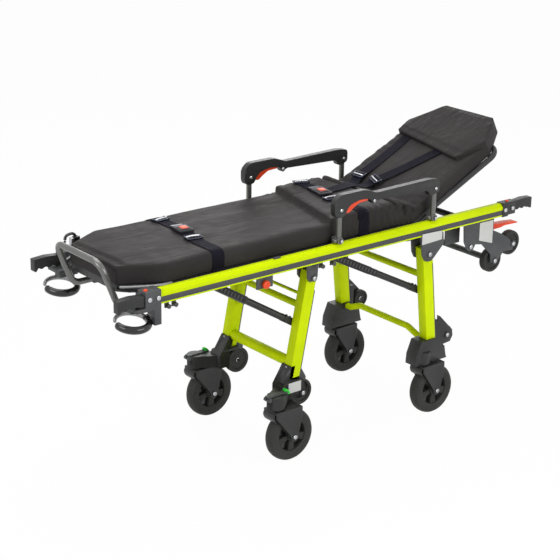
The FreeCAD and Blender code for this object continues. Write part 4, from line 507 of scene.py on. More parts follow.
# %% Plan and height of the flat cushion
seat_low, seat_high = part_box("mattress")
hinge = next(joint for joint in frame["joints"] if joint["name"] == "backrest_raise")
HINGE = Vector(hinge["pos_m"])
RAISE = math.radians(25.2)
UNDERSIDE = seat_low.z
FOOT_TOP = 0.8623
SEAT_TOP = seat_high.z
REST_TOP = HINGE.z + 0.0563
REST_UNDER = HINGE.z + 0.0065
REST_END = HINGE.x + 0.590
STEP_X = 0.0256
STEP_SKEW = 0.239
BEND_START = 0.300
BEND_END = 0.492
PLAN = [(seat_low.x, 0.144), (-0.746, 0.225), (HINGE.x + 0.010, 0.225),
        (HINGE.x + 0.447, 0.214), (REST_END, 0.128)]


def between(table, x):
    """Reads a table of stations and values with straight runs between them."""
    for (x0, v0), (x1, v1) in zip(table, table[1:]):
        if x <= x1:
            return v0 + (v1 - v0) * max(0.0, (x - x0) / (x1 - x0))
    return table[-1][1]


def ease(value, low, high):
    share = min(1.0, max(0.0, (value - low) / (high - low)))
    return share * share * (3 - 2 * share)


def bump(value, middle, width):
    return math.exp(-((value - middle) / width) ** 2)


def half_width(x):
    return (between(PLAN, x - 0.006) + between(PLAN, x) + between(PLAN, x + 0.006)) / 3


def top_height(x):
    """Height of the top face: the foot part, the step up to the seat, then the backrest."""
    height = FOOT_TOP + (SEAT_TOP - FOOT_TOP) * ease(x, STEP_X - 0.003, STEP_X + 0.005)
    return height + (REST_TOP - height) * ease(x, 0.330, 0.440)


def under_height(x):
    return UNDERSIDE + (REST_UNDER - UNDERSIDE) * ease(x, 0.340, 0.430)


def askew(x, y):
    """Turns a station near the seat step, so that the step follows it."""
    return x + STEP_SKEW * y * ease(x, -0.25, -0.02) * (1 - ease(x, 0.07, 0.28))


def bend(point):
    """Turns a point of the flat cushion about the hinge, smoothly over the bend."""
    turn = RAISE * ease(point.x, BEND_START, BEND_END)
    return HINGE + Matrix.Rotation(-turn, 3, "Y") @ (point - HINGE)


print("cushion from", round(seat_low.x, 3), "to", round(REST_END, 3), "when flat")

# %% [markdown]
# ## Rings round the cushion
#
# Each ring goes across the underside, up one side, over the top and down the other side. The
# points sit closer together at the corners, which are rounded. At both ends a few smaller rings
# round the last edge, and rings that shrink to the middle close the end.

# %% Build the flat cushion
CORNER = 0.007
COLUMNS = 44
STATION_STEP = 0.008


def ring(half, low, high, corner=CORNER):
    """A rounded rectangle as (y, z) points, from the middle of its underside."""
    turns = [math.radians(angle) for angle in (18, 45, 72)]
    flank = [(half * share, low) for share in (0.35, 0.7, 0.9)]
    flank += [(half - corner * (1 - math.sin(turn)), low + corner * (1 - math.cos(turn)))
              for turn in turns]
    tall = high - low - 2 * corner
    flank += [(half, low + corner + tall * share) for share in (0.0, 0.2, 0.4, 0.6, 0.8, 1.0)]
    flank += [(half - corner * (1 - math.cos(turn)), high - corner * (1 - math.sin(turn)))
              for turn in turns]
    reach = half - corner
    top = [(reach * (1 - 2 * number / COLUMNS), high) for number in range(COLUMNS + 1)]
    other = [(-y, z) for y, z in reversed(flank)]
    return [(0.0, low)] + flank + top + other


def solid(form):
    """Turns every face of a closed form outwards."""
    bmesh.ops.recalc_face_normals(form, faces=form.faces)
    return form


def skin(form, rows):
    """Faces between rows of points; gives back the rows as corners of the form."""
    rows = [[form.verts.new(point) for point in row] for row in rows]
    for row, after in zip(rows, rows[1:]):
        for number in range(len(row)):
            following = (number + 1) % len(row)
            form.faces.new((row[number], row[following], after[following], after[number]))
    return rows


def closed_skin(form, rows):
    """Faces between rows of points, and over the first and the last row."""
    rows = skin(form, rows)
    form.faces.new(rows[0][::-1])
    form.faces.new(rows[-1])


def loft(rings):
    """Skins rings of points and closes both ends with rings that shrink to the middle."""
    def shrunk(points, share):
        middle = sum(points, Vector()) / len(points)
        return [middle + (point - middle) * share for point in points]

    shares = (0.25, 0.5, 0.75, 0.92)
    rings = ([shrunk(rings[0], share) for share in shares] + rings
             + [shrunk(rings[-1], share) for share in reversed(shares)])
    form = bmesh.new()
    rows = skin(form, rings)
    form.faces.new(rows[0])
    form.faces.new(rows[-1])
    return solid(form)


def stations(low, high, fine):
    """Stations from low to high that are closer together within the fine spans."""
    x = low
    while x < high - 0.003:
        yield x
        close = any(start < x < end for start, end in fine)
        x += STATION_STEP / 2 if close else STATION_STEP


def cushion_rings():
    ends = [(PLAN[0][0], 0.006), (PLAN[0][0] + 0.0018, 0.0018)]
    spots = [(x, 0.0) for x in stations(PLAN[0][0] + 0.006, REST_END - 0.006,
                                        [(-0.02, 0.09), (0.28, 0.40)])]
    back = [(REST_END - 0.0018, 0.0018), (REST_END, 0.006)]
    for x, inset in ends + spots + back:
        section = ring(half_width(x) - inset, under_height(x) + inset, top_height(x) - inset)
        yield [Vector((askew(x, y), y, z)) for y, z in section]


cover_form = loft(list(cushion_rings()))
print("cushion of", len(cover_form.verts), "points before it is filled")

# %% [markdown]
# ## Filling the cushion
#
# Foam pushes a cover outwards until the seams hold it. A short cloth simulation with a little
# air pressure does the same: the underside is held, the rest swells by a few millimetres, and
# the movement is capped, so that the cushion keeps its size. The result is written back to the
# mesh, and the simulation is taken off again.

# %% Swell a cover with a short cloth simulation
FRAMES = 14
CLOTH = {"quality": 5, "mass": 0.3, "tension_stiffness": 40, "compression_stiffness": 40,
         "shear_stiffness": 20, "bending_stiffness": 2, "use_pressure": True,
         "vertex_group_mass": "held"}


def fill_cover(form, name, pressure, cap):
    """Swells a form by simulated air pressure and returns it with its points moved."""
    bag = add_object(name, mesh_of(name, form))
    under = [vertex.index for vertex in bag.data.vertices if vertex.normal.z < -0.6]
    bag.vertex_groups.new(name="held").add(under, 1.0, "REPLACE")
    cloth = bag.modifiers.new("Cloth", "CLOTH")
    settings = cloth.settings
    for setting, value in CLOTH.items():
        setattr(settings, setting, value)
    settings.uniform_pressure_force = pressure
    settings.effector_weights.gravity = 0
    cloth.point_cache.frame_start = 1
    cloth.point_cache.frame_end = FRAMES
    for frame_number in range(1, FRAMES + 1):
        scene.frame_set(frame_number)
    swollen = bag.evaluated_get(bpy.context.evaluated_depsgraph_get()).to_mesh()
    furthest = 0.0
    form.verts.ensure_lookup_table()
    for vertex, moved in zip(form.verts, swollen.vertices):
        shift = moved.co - vertex.co
        furthest = max(furthest, shift.length)
        if shift.length > cap:
            shift *= cap / shift.length
        vertex.co += shift
    bpy.data.objects.remove(bag)
    scene.frame_set(1)
    print(name, "swelled by up to", round(furthest * 1000, 1), "mm before the cap")
    return form


def subdivided(form):
    """One round of smooth subdivision, written into the form."""
    carrier = add_object("Subdivided", mesh_of("Subdivided", form))
    form.free()
    carrier.modifiers.new("Subdivision", "SUBSURF").levels = 1
    finer = bmesh.new()
    finer.from_mesh(carrier.evaluated_get(bpy.context.evaluated_depsgraph_get()).to_mesh())
    bpy.data.objects.remove(carrier)
    finer.normal_update()
    return finer


cover_form = subdivided(fill_cover(cover_form, "Cover", 1.4, 0.003))
print("cushion of", len(cover_form.verts), "points after it is filled")

# %% [markdown]
# ## Pleats, gathers and folds
#
# Where the cushion bends, the loose cover is drawn into deep pleats across it. Elastic in the
# side walls gathers them into many small upright folds. The rest of the cover lies in long,
# soft folds. Each of them is a push along the surface's own direction.

# %% Fold the cover
PLEATS = [(0.298, 0.034, 0.0085), (0.346, 0.042, 0.0100), (0.394, 0.030, 0.0085)]


def hills(x, y, z=0.0):
    return noise.noise(Vector((x, y, z)))


def pleat_depth(x, y):
    """How far the pleats across the bend sink the top face."""
    wide = 0.35 + 0.65 * ease(abs(y - 0.03), 0.050, 0.110)
    total = 0.0
    for number, (middle, depth, width) in enumerate(PLEATS):
        drift = 0.010 * hills(y * 9, number * 7.3) + 0.006 * hills(y * 26, number * 3.1)
        strength = 0.75 + 0.5 * hills(y * 6, 20 + number)
        total += depth * wide * strength * bump(x, middle + drift, width)
    return total


def side_gather(x, z):
    """Upright folds in a side wall: close together at the seat, sparse along the backrest."""
    close = ease(x, 0.02, 0.06) * (1 - ease(x, 0.44, 0.50))
    phase = x * 170 + 9 * hills(x * 9, z * 14)
    upper = 0.6 + 0.9 * ease(z, 0.80, 0.88)
    fold = 0.0026 * close * upper * (math.sin(phase) + 0.9 * hills(x * 60, z * 10, 4.0))
    sparse = ease(x, 0.46, 0.54) * (1 - ease(x, 0.80, 0.86))
    fold += 0.0030 * sparse * hills(x * 34, z * 9, 8.0)
    calm = 1 - ease(x, -0.05, 0.02)
    return fold + 0.0022 * calm * hills(x * 7, z * 14, 2.0)


def top_fold(x, y):
    """Long soft folds of the top face, with small puckers next to the elastic."""
    slanted = hills(x * 3.2 + y * 5.0, y * 11 - x * 1.5, 1.0)
    fine = hills(x * 9 + y * 4, y * 24, 5.0)
    rest = 1 - 0.45 * ease(x, 0.45, 0.60)
    fold = rest * (0.0030 * slanted + 0.0009 * fine)
    near_edge = ease(abs(y), 0.150, 0.215) * ease(x, -0.02, 0.05) * (1 - ease(x, 0.75, 0.80))
    return fold + 0.0042 * near_edge * hills(x * 42, y * 12, 3.0)


for vertex in cover_form.verts:
    x, y, z = vertex.co
    normal = vertex.normal
    upward = max(0.0, normal.z)
    sideways = abs(normal.y)
    push = upward * (top_fold(x, y) - pleat_depth(x, y)) + sideways * side_gather(x, z)
    dent = sideways * 0.35 * pleat_depth(x, y) * ease(z, 0.81, 0.87)
    vertex.co += normal * (push - dent) * (1.0 if normal.z > -0.3 else 0.0)
cover_form.normal_update()
flat_cover = BVHTree.FromBMesh(cover_form)
print("cover folded")

# %% [markdown]
# ## Webbing
#
# The belts are woven from dark blue-black yarn. Their finish reads a map that is laid along each
# belt in metres, so the weave always runs with the belt: fine ribs across it, crossed by the
# yarns that run along it. The last hard finishes, for small parts, are mixed here too.

# %% The webbing finish
tree, shader, place = start_material("webbing")
along = wire(tree, "ShaderNodeUVMap", {}, uv_map="weave").outputs["UV"]
ribs, yarns = (wire(tree, "ShaderNodeTexWave", {"Vector": along, "Scale": scale,
                                                "Distortion": distortion, "Detail": 1.0},
                    bands_direction=way).outputs["Fac"]
               for way, scale, distortion in (("X", 190.0, 0.4), ("Y", 90.0, 0.2)))
woven = wire(tree, "ShaderNodeMath", {0: ribs, 1: yarns}, operation="MULTIPLY").outputs[0]
drift = ramp(tree, clouds(tree, place, 14.0, 4.0), 0.3, 0.7)
feed(tree, shader, {
    "Base Color": colour_mix(tree, drift, linear((31, 30, 39)), linear((24, 23, 31))),
    "Normal": relief(tree, woven, 0.55, 0.0006), "Roughness": 0.62, "Specular IOR Level": 0.03})
finish("lock_metal", (62, 66, 80), (46, 48, 58), (150, 154, 168), 0.22, metal=0.75, grain=500,
       depth=0.05)
finish("bright_bolt", (196, 197, 200), (176, 177, 180), (228, 228, 230), 0.26, metal=0.9,
       grain=420, depth=0.05)
finish("gloss_black", (26, 26, 27), (20, 20, 21), (70, 70, 72), 0.25, grain=600, depth=0.08,
       coat=0.4)
finish("pale_plate", (206, 206, 203), (198, 198, 196), (222, 222, 220), 0.4, grain=700,
       depth=0.05)
finish("light_metal", (150, 150, 151), (134, 134, 136), (200, 200, 202), 0.35, metal=0.4,
       grain=500, depth=0.08)
finish("buckle_plastic", (32, 31, 37), (26, 25, 30), (64, 64, 72), 0.5, grain=1300, depth=0.25)
# The next finish is painted shade: its near-black stands for the dark seen through the square
# holes of the brace channels.
finish("hole_shade_black", (22, 22, 23), (18, 18, 19), (44, 44, 46), 0.6, grain=900, depth=0.1)
print(len(FINISH), "finishes")

# %% [markdown]
# ## Laying a belt over the cushion
#
# A belt follows a line drawn on the plan of the cushion. At close steps along that line, rays
# find the surface under five points across the belt. A tight belt bridges the hollows, so each
# point is then lifted to the middle of its neighbours wherever that is higher than the surface.

# %% Lay and build belts
BELT = 0.050
ACROSS = (-1.0, -0.5, 0.0, 0.5, 1.0)
ROW_STEP = 0.006
BELT_THICK = 0.0015
LIFT = 0.0012
ABOVE = 1.3
SIDE_DROPS = (0.009, 0.016, 0.024, 0.032, 0.040, 0.048, 0.056)
SIDE_END = 0.812
SIDE_WALL = 0.2245
TO_RAIL = [(0.2272, 0.8050), (0.2312, 0.8000), (0.2358, 0.7955), (0.2361, 0.787), (0.2361, 0.778)]


def spaced(points):
    """Even steps along a line of corner points, rounded a little at the corners."""
    line = []
    for start, end in zip(points, points[1:]):
        run = end - start
        count = max(1, round(run.length / ROW_STEP))
        line += [start + run * number / count for number in range(count)]
    line.append(points[-1].copy())
    for _ in range(6):
        between_ends = [(a + b * 2 + c) / 4 for a, b, c in zip(line, line[1:], line[2:])]
        line = [line[0]] + between_ends + [line[-1]]
    return line


def ahead_of(line, number):
    """The way from the point before to the point after, along a line of points."""
    return line[min(number + 1, len(line) - 1)] - line[max(number - 1, 0)]


def surface(origin, direction):
    return flat_cover.ray_cast(origin, direction)[0]


def lay_belt(points, lift=LIFT, width=BELT, tight=40):
    """Rows of five points across a belt that lies on top of the flat cushion."""
    line = spaced([Vector((x, y, 0.0)) for x, y in points])
    rows = []
    for number, spot in enumerate(line):
        ahead = ahead_of(line, number)
        side = Vector((-ahead.y, ahead.x, 0.0)).normalized() * width / 2
        row = []
        for share in ACROSS:
            over = spot + side * share
            found = surface(Vector((over.x, over.y, ABOVE)), Vector((0, 0, -1)))
            over.z = (found.z if found else UNDERSIDE) + lift
            row.append(over)
        rows.append(row)
    floor = [[point.z for point in row] for row in rows]
    for _ in range(tight):
        for number in range(1, len(rows) - 1):
            for column in range(len(ACROSS)):
                level = (rows[number - 1][column].z + rows[number + 1][column].z) / 2
                rows[number][column].z = max(floor[number][column], level)
    return rows


def down_side(x_top, side, top, lean=0.0):
    """Rows of a belt that goes down a side of the cushion to the rail's inner side."""
    rows = []
    for drop in SIDE_DROPS:
        z = top - drop
        if z < SIDE_END:
            break
        row = []
        for share in ACROSS:
            x = x_top + lean * drop - side * share * BELT / 2
            found = surface(Vector((x, side * 0.4, z)), Vector((0, -side, 0)))
            wall = max(abs(found.y) if found else PLAN[1][1], SIDE_WALL)
            row.append(Vector((x, side * (wall + LIFT), z)))
        rows.append(row)
    for y, z in TO_RAIL:
        rows.append([Vector((x_top + lean * (top - z) - side * share * BELT / 2, side * y, z))
                     for share in ACROSS])
    return rows


def belt_form(rows):
    """A solid band from rows of points, with a map along it for the weave."""
    form = bmesh.new()
    weave = form.loops.layers.uv.new("weave")
    length = 0.0
    grid = []
    middle = [row[2] for row in rows]
    for number, row in enumerate(rows):
        if number:
            length += (middle[number] - middle[number - 1]).length
        ahead = ahead_of(middle, number)
        out = (row[4] - row[0]).cross(ahead).normalized()
        if out.z < -0.2 or (abs(out.z) <= 0.2 and out.y * row[2].y < 0):
            out = -out
        top = [form.verts.new(point + out * BELT_THICK) for point in row]
        under = [form.verts.new(point) for point in row]
        grid.append((top + under[::-1], length))
    width = (rows[0][4] - rows[0][0]).length
    count = len(grid[0][0])
    for (low, low_at), (high, high_at) in zip(grid, grid[1:]):
        for number in range(count):
            following = (number + 1) % count
            face = form.faces.new((low[number], low[following], high[following], high[number]))
            spans = [number, number + 1, number + 1, number]
            places = [low_at, low_at, high_at, high_at]
            for loop, span, place in zip(face.loops, spans, places):
                loop[weave].uv = (place, (span % 5) * width / 4)
    form.faces.new(grid[0][0])
    form.faces.new(grid[-1][0])
    return solid(form)


def cross_belt(points):
    """A belt across the cushion and down both sides; points run from the far side."""
    rows = lay_belt(points)
    far, near = rows[0][2], rows[-1][2]
    lean_far = (points[0][0] - points[1][0]) * 2
    lean_near = (points[-1][0] - points[-2][0]) * 2
    start = down_side(far.x, 1, far.z, lean_far)
    end = down_side(near.x, -1, near.z, lean_near)

    def facing(side_rows, model):
        return [row[::-1] if (row[4] - row[0]).dot(model[4] - model[0]) < 0 else row
                for row in side_rows]

    return facing(start, rows[0])[::-1] + rows + facing(end, rows[-1])


LEG_LINE = [(-0.511, 0.219), (-0.493, 0.178), (-0.501, 0.024), (-0.525, -0.069), (-0.534, -0.219)]
LAP_LINE = [(0.204, 0.219), (0.172, 0.188), (0.150, 0.037), (0.126, -0.042), (0.131, -0.219)]
leg_rows = cross_belt(LEG_LINE)
lap_rows = cross_belt(LAP_LINE)
new_piece("leg_belt", belt_form(leg_rows), "webbing", "frame")
lap_belt = new_piece("lap_belt", belt_form(lap_rows), "webbing", "frame")
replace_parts(lap_belt, "patient_belts")
print("belts of", len(leg_rows), "and", len(lap_rows), "rows")

# %% [markdown]
# ## Shoulder belts
#
# Two belts come from under the pillow, run through their adjusters and end together in the lap
# buckle. They cross the bend, so they are laid flat and bent with the cover.

# %% Shoulder belts
def along_rest(s, y):
    return HINGE.x + s, y


SHOULDER_LINES = {
    "left": [along_rest(0.372, 0.149), along_rest(0.071, 0.142), (0.395, 0.112), (0.320, 0.068),
             (0.240, 0.050), (0.176, 0.042)],
    "right": [along_rest(0.345, -0.056), along_rest(0.073, 0.051), (0.395, 0.056),
              (0.320, 0.050), (0.250, 0.040), (0.176, 0.034)],
}


SHOULDER_BELT = 0.046


def bent_rows(rows):
    return [[bend(point) for point in row] for row in rows]


def follow_bend(piece):
    """Writes the place of a piece into its mesh."""
    start = bend(Vector((BEND_START, 0, HINGE.z)))
    end = bend(Vector((BEND_END, 0, HINGE.z)))
    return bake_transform(piece)


shoulder_rows = {}
for number, (name, line) in enumerate(SHOULDER_LINES.items()):
    rows = lay_belt(line, lift=LIFT + 0.0022 * number, width=SHOULDER_BELT, tight=160)
    shoulder_rows[name] = rows
    form = belt_form(bent_rows(rows))
    strap = new_piece(f"{name}_shoulder_belt", form, "webbing", None)
    follow_bend(strap)
    if name == "left":
        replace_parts(strap, "shoulder_belts")
print("shoulder belts laid")

# %% [markdown]
# ## Put the cover on
#
# The folded cover is bent about the hinge and takes the place of the plain mattress and the
# plain backrest pad.

# %% Bend the cover
for vertex in cover_form.verts:
    vertex.co = bend(vertex.co)
cover = new_piece("cushion_cover", cover_form, "vinyl", None, sharp=80)
follow_bend(cover)
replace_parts(cover, "mattress", "backrest_pad")
print("cover of", len(cover.data.polygons), "faces")

# %% [markdown]
# ## The pillow
#
# The pillow is a sleeve over the head end of the cushion. Its front edge runs askew, its top is
# flat and crisp, and it closes round the whole end of the pad.

# %% Pillow sleeve
PILLOW_SKEW = 0.151
PILLOW_FRONT = HINGE.x + 0.3463
PILLOW_TOP = REST_TOP + 0.022
NEAR = [(PILLOW_FRONT, 0.169), (HINGE.x + 0.447, 0.2165), (REST_END + 0.002, 0.1305)]
FAR = [(PILLOW_FRONT, 0.211), (HINGE.x + 0.447, 0.2165), (REST_END + 0.002, 0.1305)]


def pillow_rings():
    spots = [(PILLOW_FRONT, 0.005), (PILLOW_FRONT + 0.0015, 0.0015)]
    spots += [(x, 0.0) for x in stations(PILLOW_FRONT + 0.005, REST_END - 0.003, [])]
    spots += [(REST_END + 0.0002, 0.0015), (REST_END + 0.002, 0.005)]
    for x, inset in spots:
        close = ease(x, PILLOW_FRONT + 0.04, PILLOW_FRONT + 0.10)
        low = REST_TOP - 0.004 + (REST_UNDER - 0.002 - REST_TOP + 0.004) * close + inset
        skew = PILLOW_SKEW * (1 - ease(x, PILLOW_FRONT, PILLOW_FRONT + 0.11))
        near = between(NEAR, x) - inset
        far = between(FAR, x) - inset
        section = ring((near + far) / 2, low, PILLOW_TOP - inset, corner=0.004)
        shift = (far - near) / 2
        yield [Vector((x + skew * (y + shift), y + shift, z)) for y, z in section]


pillow_form = subdivided(fill_cover(loft(list(pillow_rings())), "Pillow", 1.0, 0.002))
for vertex in pillow_form.verts:
    x, y, z = vertex.co
    sideways = abs(vertex.normal.y)
    upward = max(0.0, vertex.normal.z)
    push = 0.0016 * upward * hills(x * 7, y * 7, 11.0)
    push += 0.0030 * sideways * (1 - ease(x, PILLOW_FRONT + 0.06, PILLOW_FRONT + 0.16)) * (
        hills(x * 60, z * 20, 6.0))
    vertex.co += vertex.normal * push
for vertex in pillow_form.verts:
    vertex.co = bend(vertex.co)
pillow = new_piece("pillow", pillow_form, "vinyl", "backrest", sharp=80)
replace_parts(pillow, "head_pillow")
print("pillow of", len(pillow.data.polygons), "faces")

# %% [markdown]
# ## Small shapes
#
# Buckles, bolts, rings and levers are put together from a few simple shapes: a rounded block, a
# shape turned about an axis, a tube along a line, and a plate cut from an outline. Each function
# adds its shape to a form, so that one piece can hold several of them.

# %% Blocks, turned shapes, tubes and plates
def block(form, middle, size, corner=0.0015, place=None):
    """Adds a rounded box whose middle is given in the frame of place."""
    spot = (place or Matrix()) @ Matrix.Translation(Vector(middle))
    made = bmesh.ops.create_cube(form, size=1.0, matrix=spot @ Matrix.Diagonal((*size, 1.0)))
    edges = list({edge for point in made["verts"] for edge in point.link_edges})
    bevel(form, edges, corner, 3)


def turned(form, profile, middle, axis, steps=28):
    """Adds a shape turned about an axis, from points of radius and height."""
    along = Vector(axis).normalized()
    across = along.orthogonal().normalized()
    other = along.cross(across)
    turns = [math.tau * number / steps for number in range(steps)]
    closed_skin(form, [[Vector(middle) + along * height
                        + (across * math.cos(turn) + other * math.sin(turn)) * radius
                        for turn in turns] for radius, height in profile])


def tube_along(form, line, radius, flat=1.0, steps=16):
    """Adds a rod with round ends along a line; flat is its height over its width."""
    rows = []
    ends = [(0, 0.35, -0.9), (0, 0.8, -0.55)]
    count = len(line)
    for number, point in enumerate(line):
        ahead = ahead_of(line, number).normalized()
        side = Vector((0, 0, 1)).cross(ahead)
        side = side.normalized() if side.length > 0.1 else Vector((0, 1, 0))
        up = ahead.cross(side)
        thick = radius(number / (count - 1)) if callable(radius) else radius
        rounds = [(1.0, 0.0)]
        if number == 0:
            rounds = [(share, back) for _, share, back in ends] + rounds
        if number == count - 1:
            rounds += [(share, -back) for _, share, back in reversed(ends)]
        for share, back in rounds:
            rows.append([point + ahead * back * thick
                         + (side * math.cos(turn) + up * math.sin(turn) * flat) * thick * share
                         for turn in (math.tau * step / steps for step in range(steps))])
    closed_skin(form, rows)


def softened(outline, reach, steps=5):
    """Rounds each corner of a closed outline with a curve that starts reach away from it."""
    smooth = []
    points = [Vector(point) for point in outline]
    for before, corner, after in zip(points[-1:] + points, points, points[1:] + points[:1]):
        into, out = before - corner, after - corner
        start = corner + into * min(0.5, reach / into.length)
        end = corner + out * min(0.5, reach / out.length)
        for step in range(steps + 1):
            share = step / steps
            smooth.append(tuple(start * (1 - share) ** 2 + corner * 2 * share * (1 - share)
                                + end * share ** 2))
    return smooth


def plate(form, outline, low, high, corner=0.001, recess=None, place=None, steps=2):
    """Adds a plate with an (x, z) outline from y low to high; recess sinks its large faces."""
    made = bmesh.new()
    closed_skin(made, [[Vector((x, y, z)) for x, z in outline] for y in (low, high)])
    edges = [edge for edge in made.edges
             if abs(edge.verts[0].co.y - edge.verts[1].co.y) < 1e-6]
    bevel(made, edges, corner, steps)
    solid(made)
    if recess:
        wide = sorted(made.faces, key=lambda face: -face.calc_area())[:2]
        bmesh.ops.inset_region(made, faces=wide, thickness=recess, depth=-0.0014,
                               use_even_offset=True)
    made.transform(place or Matrix())
    form.from_mesh(mesh_of("Plate", made))
    made.free()


BOLT = [(1.0, 0.0), (1.0, 0.45), (0.86, 0.8), (0.62, 0.95), (0.46, 0.97), (0.40, 0.5),
        (0.1, 0.45)]


def bolts(name, body, spots, radius=0.007, height=0.004):
    """Bright screw heads; each spot is a place and the way that the head faces."""
    form = bmesh.new()
    for spot, facing in spots:
        turned(form, [(share * radius, rise * height) for share, rise in BOLT], spot, facing, 24)
    return new_piece(name, solid(form), "bright_bolt", body)


print("shapes ready")

# %% [markdown]
# ## Buckles and adjusters
#
# Each belt is held by metal adjusters, and meets its other half in a buckle with an orange
# button. A place on a belt has a direction along it, one across it and one away from the
# cushion, and the hardware is built in that frame.

# %% Belt hardware
def belt_place(rows, x, y):
    """The frame of a belt where it comes nearest to a point of the plan."""
    number = min(range(2, len(rows) - 2),
                 key=lambda row: (rows[row][2].x - x) ** 2 + (rows[row][2].y - y) ** 2)
    ahead = (rows[number + 2][2] - rows[number - 2][2]).normalized()
    side = (rows[number][4] - rows[number][0]).normalized()
    facing = ahead.cross(side).normalized()
    if facing.z < 0:
        facing = -facing
    side = facing.cross(ahead)
    turn = Matrix((ahead, side, facing)).transposed().to_4x4()
    return Matrix.Translation(rows[number][2]) @ turn


def adjuster(name, body, place, half=0.028, way=1):
    """A ladder lock: two cheeks, two bars, the bright bar that pinches the belt, and its fold."""
    form = bmesh.new()
    for side in (-1, 1):
        block(form, (0, side * half, 0.0045), (0.036, 0.005, 0.008), 0.002, place)
    for x in (-0.014, 0.013):
        block(form, (way * x, 0, 0.0042), (0.007, half * 2, 0.005), 0.0018, place)
    new_piece(name, solid(form), "lock_metal", body)
    form = bmesh.new()
    line = [place @ Vector((way * (-0.003 - 0.002 * math.cos(share * 1.2)), share * (half - 0.004),
                            0.0085 - 0.001 * share * share))
            for share in (-1, -0.75, -0.5, -0.25, 0, 0.25, 0.5, 0.75, 1)]
    tube_along(form, line, 0.0034, steps=12)
    new_piece(f"{name}_bar", solid(form), "bright_bolt", body)
    form = bmesh.new()
    block(form, (way * 0.004, 0, 0.0062), (0.019, half * 2 - 0.008, 0.0026), 0.0012, place)
    new_piece(f"{name}_fold", solid(form), "webbing", body)


def buckle(name, body, place, length):
    """A flat housing, the tongue that goes into it and an orange button."""
    form = bmesh.new()
    block(form, (0, 0, 0.0065), (length, 0.056, 0.011), 0.0035, place)
    block(form, (0.010, 0, 0.0125), (length * 0.5, 0.044, 0.004), 0.0018, place)
    new_piece(name, solid(form), "buckle_plastic", body)
    form = bmesh.new()
    block(form, (-length / 2 - 0.010, 0, 0.0055), (0.024, 0.046, 0.004), 0.0014, place)
    new_piece(f"{name}_tongue", solid(form), "lock_metal", body)
    form = bmesh.new()
    block(form, (0.006, 0, 0.0145), (0.030, 0.026, 0.0050), 0.002, place)
    new_piece(f"{name}_button", solid(form), "orange_plastic", body)


adjuster("leg_far_adjuster", "frame", belt_place(leg_rows, -0.493, 0.172), way=-1)
buckle("leg_buckle", "frame", belt_place(leg_rows, -0.501, 0.024), 0.070)
adjuster("leg_near_adjuster", "frame", belt_place(leg_rows, -0.525, -0.069))
adjuster("lap_far_adjuster", "frame", belt_place(lap_rows, 0.172, 0.180), way=-1)
buckle("lap_buckle", "frame", belt_place(lap_rows, 0.150, 0.037), 0.090)
adjuster("lap_near_adjuster", "frame", belt_place(lap_rows, 0.126, -0.046))
for name, s, y in (("left", 0.085, 0.142), ("right", 0.085, 0.051)):
    flat = belt_place(shoulder_rows[name], HINGE.x + s, y)
    place = (Matrix.Translation(HINGE) @ Matrix.Rotation(-RAISE, 4, "Y")
             @ Matrix.Translation(-HINGE) @ flat)
    adjuster(f"{name}_shoulder_adjuster", "backrest", place, 0.026, way=-1)
print("belt hardware fitted")

# %% [markdown]
# ## Casters
#
# A caster fork has a plate on each side of the wheel, wide at the top and narrow at the axle,
# with a shallow panel pressed into it. A crown joins the plates over the wheel, and a curved
# hood closes the gap in front of it. The axle ends in a bright bolt on both sides.

# %% Forks
def joint_place(name):
    return Vector(next(joint for joint in frame["joints"] if joint["name"] == name)["pos_m"])


def arc(middle, radius, start, end, steps):
    """Points of an arc in the (x, z) plane, with its angles in degrees."""
    turns = [math.radians(start + (end - start) * step / steps) for step in range(steps + 1)]
    return [(middle[0] + radius * math.cos(turn), middle[1] + radius * math.sin(turn))
            for turn in turns]


def around(x, z, points):
    """An outline given by its distances from a point."""
    return [(x + dx, z + dz) for dx, dz in points]


SHEET = 0.006
CROWN_DROP = 0.049
COLLAR = [(0.020, 0.0), (0.0255, 0.002), (0.0255, 0.0065), (0.018, 0.0075)]
HOOD = [(0, 0.003), (-0.012, -0.002), (-0.017, -0.014), (-0.013, -0.028), (-0.004, -0.040),
        (0, -0.037), (-0.009, -0.026), (-0.012, -0.014), (-0.009, -0.006), (0, -0.003)]
for side in ("left", "right"):
    for end in ("foot", "head"):
        node = f"{side}_{end}_caster_fork"
        low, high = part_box(node)
        swivel = joint_place(f"{side}_{end}_caster_swivel")
        axle = joint_place(f"{side}_{end}_caster_spin")
        crown = high.z - CROWN_DROP
        x = axle.x
        outline = [(swivel.x - 0.024, crown), (swivel.x - 0.024, crown - 0.022),
                   (x - 0.022, axle.z + 0.014)]
        outline += arc((x, axle.z), 0.018, 205, 335, 8)
        outline += [(x + 0.020, axle.z + 0.022), (x + 0.034, axle.z + 0.074), (x + 0.034, crown)]
        form = bmesh.new()
        for y in (low.y, high.y - SHEET):
            plate(form, outline, y, y + SHEET, 0.0014, recess=0.008)
        block(form, ((swivel.x - 0.025 + x + 0.034) / 2, swivel.y, crown - 0.001),
              (x + 0.034 - swivel.x + 0.025, high.y - low.y, 0.008), 0.002)
        turned(form, COLLAR, (swivel.x, swivel.y, crown + 0.001), (0, 0, 1))
        plate(form, softened(around(swivel.x - 0.017, crown, HOOD), 0.005, 3), low.y + 0.007,
              high.y - 0.007, 0.0008)
        fork = new_piece(f"{node}_shaped", solid(form), "black_plastic", nodes[node]["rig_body"])
        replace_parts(fork, node)
        bolts(f"{side}_{end}_axle_bolts", nodes[node]["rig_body"],
              [((x, low.y, axle.z), (0, -1, 0)), ((x, high.y, axle.z), (0, 1, 0))],
              0.0085, 0.005)
print("four forks shaped")

# %% [markdown]
# ## Brake pedals
#
# Each foot caster is braked with the toe. A small grey tread sticks out in front of the caster
# housing, and a green tab on the other end of the rocker lets the brake off again.

